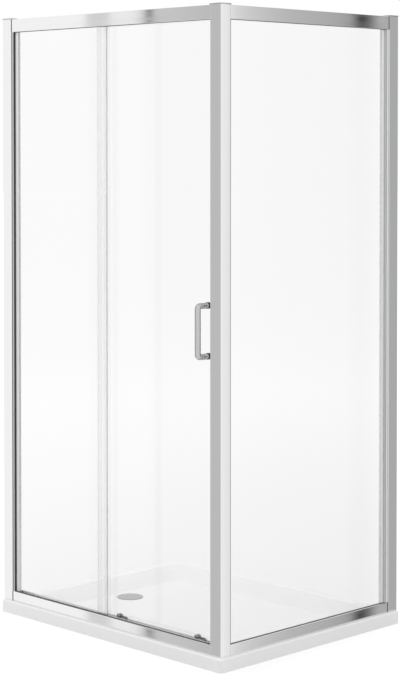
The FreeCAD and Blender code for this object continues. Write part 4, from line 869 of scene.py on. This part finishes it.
@dataclass
class Door:
    """The sliding pane with its seals, handle and running gear; sizes in millimetres."""

    top_wheel: tuple[float, float] = (11.0, 3.3)  # rolling radius and bore radius of a top wheel
    bottom_wheel: tuple[float, float] = (8.0, 2.3)  # the same of a bottom wheel
    wheel_width: float = 4.8
    flange: float = 1.0  # a wheel's flange past the bottom of its groove
    groove: float = 3.2
    bearing: float = 2.2  # width of the bearing's ring, from bore to wheel
    race: float = 0.55  # width of each of its races
    pin: float = 3.0  # radius of a bolt or pivot pin
    clamp: tuple[float, float] = (9.0, 2.5)  # radius and thickness of a clamp disc
    # inner radius of the flat ring round its socket, and the socket's width and depth
    clamp_socket: tuple[float, float, float] = (3.4, 4.6, 1.6)
    pivot_ring: float = 5.0  # radius of the rings beside a sprung arm
    # where the arm lies on its pivot, from the front of the glass
    arm_seat: tuple[float, float] = (5.0, 6.2)
    pivot_cap: float = 7.5
    wire: float = 1.0
    coil_radius: float = 4.0  # radius of a spring's turns, at the wire's middle
    coil_length: float = 5.5  # length of the coil with its wire
    leg: float = 9.0
    turns: float = 3.5
    turn_facets: int = 24
    # radii of a handle collar's bore, its socket for the tube, and its outside
    collar: tuple[float, float, float] = (3.05, 8.62, 9.5)
    collar_floor: float = 3.05  # thickness of its floor on the glass
    cuff: float = 8.5  # how far it reaches over the handle's tube from the glass
    bolt_head: tuple[float, float] = (8.5, 7.0)  # radius and height of a handle bolt's head
    # and the same for a bolt's socket
    bolt_socket: tuple[float, float, float] = (3.6, 5.8, 3.0)
    bolt_reach: float = 22.0  # how far the bolt goes through the glass into the handle
    stop_length: float = 20.0
    stop_rise: float = 1.5  # height of the track's bead under a door stop
    stop_slot: float = 2.6  # width of the slot over the bead
    stop_edge: float = 1.2
    foot_edge: float = 0.4
    foot_overlap: float = 2.0  # how far the feet beside the slot reach up into the stop
    bead_middle: float = -347.8
    # depths of the door glass, its front and its back
    glass: tuple[float, float] = (-361.0, -356.0)

    def dress(self) -> None:
        """Gives the door's pieces their finishes."""
        dress(GLASS, "door_glass")
        dress(CLEAR_PVC, "door_trailing_seal", "door_bottom_seal", "door_magnet_seal")
        dress(MAGNET, "post_magnet_strip")
        dress(BUFFED_CHROME, "handle")
        dress(ZINC, "top_bracket_left", "top_bracket_right")
        dress(ZINC, "bottom_arm_left", "bottom_arm_right")
        dress(STEEL, "top_axles_left", "top_axles_right")
        dress(STEEL, "bottom_axle_left", "bottom_axle_right")
        dress(ACETAL, "top_adjusters")

    def build(self) -> None:
        """Makes the round fittings, wheels, springs and stops."""
        for place in ("left_outer", "left_inner", "right_inner", "right_outer"):
            self.build_wheel(f"top_wheel_{place}", *self.top_wheel)
        for side in ("left", "right"):
            self.build_wheel(f"bottom_wheel_{side}", *self.bottom_wheel)
            self.build_clamp(side)
            self.build_pivot(side)
        self.build_springs()
        self.build_handle_fittings()
        self.build_stops()

    def build_wheel(self, node: str, rolling: float, bore: float) -> None:
        """Makes a grooved wheel round a small bearing.

        Args:
            node: The CAD wheel that it stands for, whose body has the same name.
            rolling: The radius at the bottom of its groove.
            bore: The bearing's bore radius.
        """
        centre = middle_of(node)
        half, groove = self.wheel_width / 2, self.groove / 2
        inner, top = bore + self.bearing, rolling + self.flange
        hub, web, dish = inner + 1.0, rolling - 1.2, half - 0.9
        # bore, hub, dished web, flange and groove
        side = [
            (inner, 0.0), (inner, half - 0.2), (hub, half - 0.2), (hub, dish), (web, dish),
            (web, half), (top, half), (top, groove), (rolling, groove * 0.45),
        ]
        wheel = turn(centre, Axis.Y, both_sides(side), 0.16, steps=72)
        piece(f"{node}_tyre", wheel, ACETAL, node, [node])
        near, far = bore + self.race, inner - self.race
        end, shield = half - 0.3, half - 0.6
        # inner race, shield and outer race
        side = [
            (bore, 0.0), (bore, end), (near, end), (near, shield), (far, shield), (far, end),
            (inner, end),
        ]
        bearing = turn(centre, Axis.Y, both_sides(side), 0.08, steps=48)
        piece(f"{node}_bearing", bearing, STEEL, node)

    def seat_of(self, node: str) -> tuple[Vector, float]:
        """Finds where a fitting sits on the door glass.

        Args:
            node: The CAD node of the fitting.

        Returns:
            The point of its axis in the front of the glass, and how far it reaches behind.
        """
        low, high = box_of(node)
        place = (low + high) / 2
        place.y = self.glass[0]
        return place, high.y - place.y

    def build_clamp(self, side: str) -> None:
        """Makes the clamp disc in front of the door glass, with its socket and bolt.

        Args:
            side: The end of the door, left or right.
        """
        node = f"top_clamp_{side}"
        place, end = self.seat_of(node)
        (disc, thick), pin = self.clamp, self.pin
        rim, width, depth = self.clamp_socket
        outline = [(0.0, end), (pin, end), (pin, 0.0), (disc, 0.0), (disc, -thick), (rim, -thick)]
        clamp = turn(place, Axis.Y, outline, 0.5, steps=48)
        socket(clamp, place + Vector((0, -thick, 0)), Axis.Y, width, depth, HEX_SIDES)
        piece(f"{node}_disc", clamp, CHROME, "door", [node])

    def build_pivot(self, side: str) -> None:
        """Makes the pivot of a sprung arm, with its domed cap.

        Args:
            side: The end of the door, left or right.
        """
        node = f"bottom_pivot_{side}"
        place, end = self.seat_of(node)
        pin, ring, cap = self.pin, self.pivot_ring, self.pivot_cap
        near, far = self.arm_seat
        # ring behind the arm, the arm's seat, ring before it, the pin in the glass, domed cap
        outline = [
            (0.0, end), (ring, end), (ring, end - 1.0), (pin, end - 1.0), (pin, far), (ring, far),
            (ring, near), (pin, near), (pin, 0.0), (cap, 0.0), (cap, -1.5), (cap - 1.7, -2.3),
            (0.0, -2.5),
        ]
        pivot = turn(place, Axis.Y, outline, 0.3, steps=48)
        piece(f"{node}_pin", pivot, ZINC, "door", [node])

    def build_springs(self) -> None:
        """Makes both torsion springs, wound round their pivots."""
        low, high = box_of("bottom_springs")
        thin = self.wire / 2
        reach = self.coil_radius + thin
        steps = round(self.turn_facets * self.turns)
        pitch = (self.coil_length - self.wire) / steps
        springs = []
        for row in (low.x + reach, high.x - reach):
            axis = Vector((row, low.y + thin, low.z + reach))
            start = Matrix.Translation(axis + Vector((self.coil_radius, 0, 0)))
            coil = bmesh.new()
            first = bmesh.ops.create_circle(coil, segments=10, radius=thin, matrix=start)
            bmesh.ops.spin(
                coil, geom=first["verts"] + coil.edges[:], cent=axis, axis=(0, 1, 0),
                dvec=(0, pitch, 0), angle=math.tau * self.turns, steps=steps,
            )
            ends = [edge for edge in coil.edges if edge.is_boundary]
            grown = bmesh.ops.extrude_edge_only(coil, edges=ends)["geom"]
            tips = [item for item in grown if isinstance(item, bmesh.types.BMVert)]
            bmesh.ops.translate(coil, verts=tips, vec=(0, 0, self.leg))
            bmesh.ops.holes_fill(coil, edges=[e for e in coil.edges if e.is_boundary])
            bmesh.ops.recalc_face_normals(coil, faces=coil.faces)
            springs.append(coil)
        wound = together(*springs)
        piece("torsion_springs", wound, STEEL, "door", ["bottom_springs"])

    def build_handle_fittings(self) -> None:
        """Makes the collars at the handle's ends, black as a painted dark reflection in place of
        their chrome, and the bolt heads inside the door.
        """
        low, high = box_of("handle_collars")
        bore, tube, outer = self.collar
        cuff, floor, pin = -self.cuff, -self.collar_floor, self.pin
        cup = [(bore, 0.0), (outer, 0.0), (outer, cuff), (tube, cuff), (tube, floor), (bore, floor)]
        (head, rise), reach = self.bolt_head, -self.bolt_reach
        rim, width, depth = self.bolt_socket
        outline = [(0.0, reach), (pin, reach), (pin, 0.0), (head, 0.0), (head, rise), (rim, rise)]
        middle = (low + high) / 2
        spacing = (high.z - low.z) / 2 - outer
        collars, bolts = [], []
        for level in (-spacing, spacing):
            place = middle + Vector((0, 0, level))
            place.y = self.glass[0]
            collars.append(turn(place, Axis.Y, cup, 0.25, steps=64))
            place.y = self.glass[1]
            bolt = turn(place, Axis.Y, outline, 1.2, steps=48)
            socket(bolt, place + Vector((0, rise, 0)), Axis.Y, width, -depth, HEX_SIDES)
            bolts.append(bolt)
        cuffs = together(*collars)
        # the collars' black is a painted dark reflection; the collars are chrome
        piece("handle_collars_painted_dark", cuffs, RUBBER, "door", ["handle_collars"])
        piece("handle_bolt_heads", together(*bolts), CHROME, "door", ["handle_bolts"])

    def build_stops(self) -> None:
        """Makes the rubber stops with soft edges, split where they sit over the bead."""
        low, high = box_of("door_stops")
        sole = low.z + self.stop_rise
        half_slot = self.stop_slot / 2
        blocks = []
        for start in (low.x, high.x - self.stop_length):
            end = start + self.stop_length
            stop = soft_block((start, low.y, sole), (end, high.y, high.z), self.stop_edge, 3)
            for near, far in (
                (low.y, self.bead_middle - half_slot), (self.bead_middle + half_slot, high.y),
            ):
                top = sole + self.foot_overlap
                foot = soft_block((start, near, low.z), (end, far, top), self.foot_edge, 2)
                stop = together(stop, foot)
            blocks.append(stop)
        stops = together(*blocks)
        piece("door_stop_blocks", stops, RUBBER, "enclosure", ["door_stops"])


# --------------------------------------------------------------------------- studio


def shown(tree: Tree, pane_loss: float) -> tuple[Output, Output]:
    """Tells rays that show the background from rays that light the object.

    Args:
        tree: The tree that takes the nodes.
        pane_loss: What the panes take from the white behind them.

    Returns:
        1 for a camera, glossy or transmission ray, otherwise 0; and the share that the panes
        take from the white behind them, 0 for what isn't seen through them.
    """
    path = add_node(tree, "ShaderNodeLightPath")
    seen = path.outputs["Is Camera Ray"]
    for ray in ("Is Glossy Ray", "Is Transmission Ray"):
        ends = {0: seen, 1: path.outputs[ray]}
        seen = add_node(tree, MATH, {"operation": "MAXIMUM"}, links=ends).outputs[0]
    through = {0: path.outputs["Is Transmission Ray"]}
    loss = add_node(tree, MATH, {"operation": "MULTIPLY"}, {1: pane_loss}, through)
    return seen, loss.outputs[0]


@dataclass(frozen=True)
class StudioCard:
    """A tall card in the studio that metal mirrors, with pale and dark bands; in metres."""

    name: str
    centre: tuple[float, float]  # middle of its foot
    right: tuple[float, float]  # direction of its width on the floor plan
    # places along its width, from its middle, and grey levels
    bands: tuple[tuple[float, float], ...]
    half_width: float = 1.3
    foot: float = -1.6  # level of its lower edge, below the floor, for what mirrors steeply
    height: float = 4.6
    through: bool = False  # whether it is mirrored through the panes too

    def build(self) -> None:
        """Makes the card, seen only in reflections."""
        shape = bmesh.new()
        across = Vector((*self.right, 0))
        foot = Vector((*self.centre, self.foot))
        corners = []
        for side, level in ((-1, 0), (1, 0), (1, 1), (-1, 1)):
            place = foot + across * side * self.half_width + Vector((0, 0, level * self.height))
            corners.append(shape.verts.new(place))
        shape.faces.new(corners)
        card = add_object(self.name, mesh_of(self.name, shape))
        card.data.materials.append(self.light(across))
        card.visible_camera = card.visible_diffuse = card.visible_shadow = False
        card.visible_transmission = self.through

    def light(self, across: Vector) -> Material:
        """Makes the card's glow, banded along its width.

        Args:
            across: The direction of the card's width.

        Returns:
            The card's material.
        """
        glow = bpy.data.materials.new(self.name)
        glow.use_nodes = True
        tree = glow.node_tree
        tree.nodes.remove(tree.nodes["Principled BSDF"])
        place = add_node(tree, "ShaderNodeTexCoord").outputs["Object"]
        along = add_node(
            tree, "ShaderNodeVectorMath", {"operation": "DOT_PRODUCT"}, {1: across}, {0: place}
        )
        offset = self.centre[0] * self.right[0] + self.centre[1] * self.right[1]
        share = add_node(
            tree, "ShaderNodeMapRange",
            values={"From Min": offset - self.half_width, "From Max": offset + self.half_width},
            links={"Value": along.outputs["Value"]},
        )
        ramp = add_node(tree, "ShaderNodeValToRGB", links={0: share.outputs[0]})
        stops = ramp.color_ramp.elements
        while len(stops) > 1:
            stops.remove(stops[-1])
        for index, (spot, level) in enumerate(self.bands):
            position = (spot + self.half_width) / (2 * self.half_width)
            stop = stops[0] if index == 0 else stops.new(position)
            stop.position = position
            stop.color = (level, level, level, 1)
        shine = add_node(tree, "ShaderNodeEmission", links={"Color": ramp.outputs["Color"]})
        tree.links.new(shine.outputs[0], tree.nodes["Material Output"].inputs["Surface"])
        return glow


def banded(*pairs: tuple[float, float]) -> tuple[tuple[float, float], ...]:
    """Turns greys seen on the metal into the card's levels.

    Args:
        pairs: Places along the card, in metres, and the grey the metal shows there.

    Returns:
        Places and the light that the card needs there.
    """
    mirror = linear(UPRIGHT.colour)[0]
    return tuple((spot, grey(level) / mirror) for spot, level in pairs)


@dataclass
class Studio:
    """Floor, light, cards and camera, in metres."""

    floor_half: float = 40.0
    floor_pale: float = 0.65  # how much light the floor gives back
    floor_margin: float = 0.12  # how far past white the floor is beside the panes
    photo_height: int = 676  # photograph's height, in pixels
    focal_px: float = 1851.37  # lens, in pixels of the photograph
    centre_px: float = 190.466  # row that the lens points at
    heading: float = 45.4003  # the camera's turn about the upright, in degrees
    pitch: float = 88.5  # its tilt, 90 where it looks level
    eye: Place = (4.1927, -4.1252, 1.5180)  # its place
    room_light: float = 0.85  # white room's light on the object
    lamp_light: float = 0.19  # lamps' light on the floor at the object
    lamp_reach: float = 6.0  # how far that light goes
    pane_loss: float = 0.03  # what the panes take from the white behind them
    sensor: float = 36.0  # width of the camera's sensor, in millimetres
    clip: tuple[float, float] = (0.1, 120.0)  # nearest and farthest that it sees
    # name, place, width and watts of each soft lamp: a large one over the front left and a weaker
    # one on the right
    lamps: tuple[tuple[str, Place, float, float], ...] = (
        ("soft_lamp_left", (-3.2, -3.0, 4.2), 3.2, 60.0),
        ("soft_lamp_right", (3.6, 1.0, 4.0), 3.0, 24.0),
    )
    lamp_aim: Place = (0, 0, 0.9)  # what they point at
    cards: list[StudioCard] = field(default_factory=list)  # what the metal mirrors

    def build(self) -> None:
        """Makes the studio."""
        self.build_world()
        self.build_floor()
        self.build_lamps()
        for card in self.cards:
            card.build()
        self.build_camera()
        bpy.context.scene.view_settings.view_transform = "Standard"

    def build_world(self) -> None:
        """Makes a white room that is a little dimmer as light than as background."""
        world = bpy.data.worlds.new("white_room")
        bpy.context.scene.world = world
        world.use_nodes = True
        tree = world.node_tree
        tree.nodes.clear()
        seen, loss = shown(tree, self.pane_loss)
        left = add_node(tree, MATH, {"operation": "SUBTRACT"}, {0: 1.0}, {1: loss}).outputs[0]
        kind, white = "ShaderNodeBackground", (1, 1, 1, 1)
        light = add_node(tree, kind, values={"Color": white, "Strength": self.room_light})
        back = add_node(tree, kind, values={"Color": white}, links={"Strength": left})
        ends = {0: seen, 1: light.outputs[0], 2: back.outputs[0]}
        both = add_node(tree, "ShaderNodeMixShader", links=ends)
        add_node(tree, "ShaderNodeOutputWorld", links={"Surface": both.outputs[0]})

    def build_floor(self) -> None:
        """Makes a plain pale floor that keeps the object's shadow and meets a white room."""
        shape = bmesh.new()
        bmesh.ops.create_grid(shape, x_segments=1, y_segments=1, size=self.floor_half)
        floor = add_object("studio_floor", mesh_of("studio_floor", shape))
        floor.visible_glossy = False
        paper = bpy.data.materials.new("white_paper_floor")
        paper.use_nodes = True
        tree = paper.node_tree
        shader = tree.nodes["Principled BSDF"]
        pale = self.floor_pale
        shader.inputs["Base Color"].default_value = (pale, pale, pale, 1)
        shader.inputs["Roughness"].default_value = 1.0
        shader.inputs["Specular IOR Level"].default_value = 0.0
        # the lamps light it near the object, so it glows more the farther off it is
        place = add_node(tree, "ShaderNodeTexCoord").outputs["Object"]
        away = add_node(tree, "ShaderNodeVectorMath", {"operation": "LENGTH"}, {}, {0: place})
        far = 1.0 + self.floor_margin - pale * self.room_light
        near = far - pale * self.lamp_light
        rise = add_node(
            tree, "ShaderNodeMapRange", {"interpolation_type": "SMOOTHSTEP"},
            {"From Min": 0.0, "From Max": self.lamp_reach, "To Min": near, "To Max": far},
            {"Value": away.outputs["Value"]},
        )
        seen, loss = shown(tree, self.pane_loss + self.floor_margin)
        ends = {0: rise.outputs[0], 1: loss}
        left = add_node(tree, MATH, {"operation": "SUBTRACT"}, links=ends)
        ends = {0: seen, 1: left.outputs[0]}
        lift = add_node(tree, MATH, {"operation": "MULTIPLY"}, links=ends)
        glow = add_node(tree, "ShaderNodeEmission", links={"Strength": lift.outputs[0]})
        ends = {0: shader.outputs[0], 1: glow.outputs[0]}
        whole = add_node(tree, "ShaderNodeAddShader", links=ends)
        tree.links.new(whole.outputs[0], tree.nodes["Material Output"].inputs["Surface"])
        floor.data.materials.append(paper)

    def build_lamps(self) -> None:
        """Hangs the soft lamps."""
        for name, place, size, power in self.lamps:
            data = bpy.data.lights.new(name, "AREA")
            data.size, data.energy = size, power
            lamp = add_object(name, data)
            lamp.location = place
            aim = Vector(self.lamp_aim) - Vector(place)
            lamp.rotation_euler = aim.to_track_quat("-Z", "Y").to_euler()
            lamp.visible_glossy = lamp.visible_camera = False

    def build_camera(self) -> None:
        """Places the camera at the photograph's view."""
        data = bpy.data.cameras.new("photo_camera")
        camera = add_object("photo_camera", data)
        bpy.context.scene.camera = camera
        data.sensor_fit = "AUTO"
        data.sensor_width = self.sensor
        data.lens = self.focal_px / self.photo_height * self.sensor
        data.shift_y = -(self.photo_height / 2 - self.centre_px) / self.photo_height
        data.clip_start, data.clip_end = self.clip
        camera.location = self.eye
        camera.rotation_euler = (math.radians(self.pitch), 0, math.radians(self.heading))


# What the front of the frame mirrors, from the left jamb to the corner post.
FRONT_CARD = StudioCard(
    "studio_card_front", (-1.7908, -1.9858), (0.66577, -0.74616),
    banded(
        (-1.0, 235), (-0.40, 241), (-0.095, 241), (-0.082, 206), (0.002, 206), (0.021, 234),
        (0.121, 234), (0.164, 205), (0.172, 130), (0.177, 75), (0.189, 75), (0.194, 130),
        (0.201, 200), (0.32, 193), (0.42, 187), (0.50, 184), (1.0, 200),
    ),
)
# What the side of the frame mirrors, from the back jamb to the corner post.
SIDE_CARD = StudioCard(
    "studio_card_side", (2.0920, 1.7853), (0.74386, -0.66834),
    banded(
        (-1.0, 170), (-0.312, 168), (-0.291, 182), (-0.248, 112), (-0.206, 12), (-0.163, 158),
        (-0.077, 170), (0.051, 177), (0.137, 184), (0.266, 200), (0.339, 213), (0.361, 232),
        (0.41, 238), (1.0, 230),
    ),
)
# Behind the object on both sides of the view: the darker edges of round metal, and what the
# sides that the photo doesn't show mirror.
LEFT_CARD = StudioCard(
    "studio_card_left", (-3.4, -0.5), (0.0, 1.0),
    banded((-1.2, 225), (-0.8, 110), (-0.3, 60), (0.1, 80), (0.5, 70), (1.0, 215)),
    half_width=1.2, through=True,
)
BACK_CARD = StudioCard(
    "studio_card_back", (0.5, 3.4), (1.0, 0.0),
    banded((-1.2, 215), (-0.6, 70), (-0.1, 80), (0.3, 60), (0.8, 110), (1.2, 225)),
    half_width=1.2, through=True,
)


def main() -> None:
    """Dresses the enclosure, makes its small pieces and builds the studio."""
    logging.basicConfig(level=logging.INFO, format="%(name)s: %(message)s")
    for assembly in (Tray(), Frame(), Glazing(), Door()):
        assembly.dress()
        assembly.build()
        log.info("%s done", type(assembly).__name__)
    Studio(cards=[FRONT_CARD, SIDE_CARD, BACK_CARD, LEFT_CARD]).build()


if __name__ == "__main__":
    main()
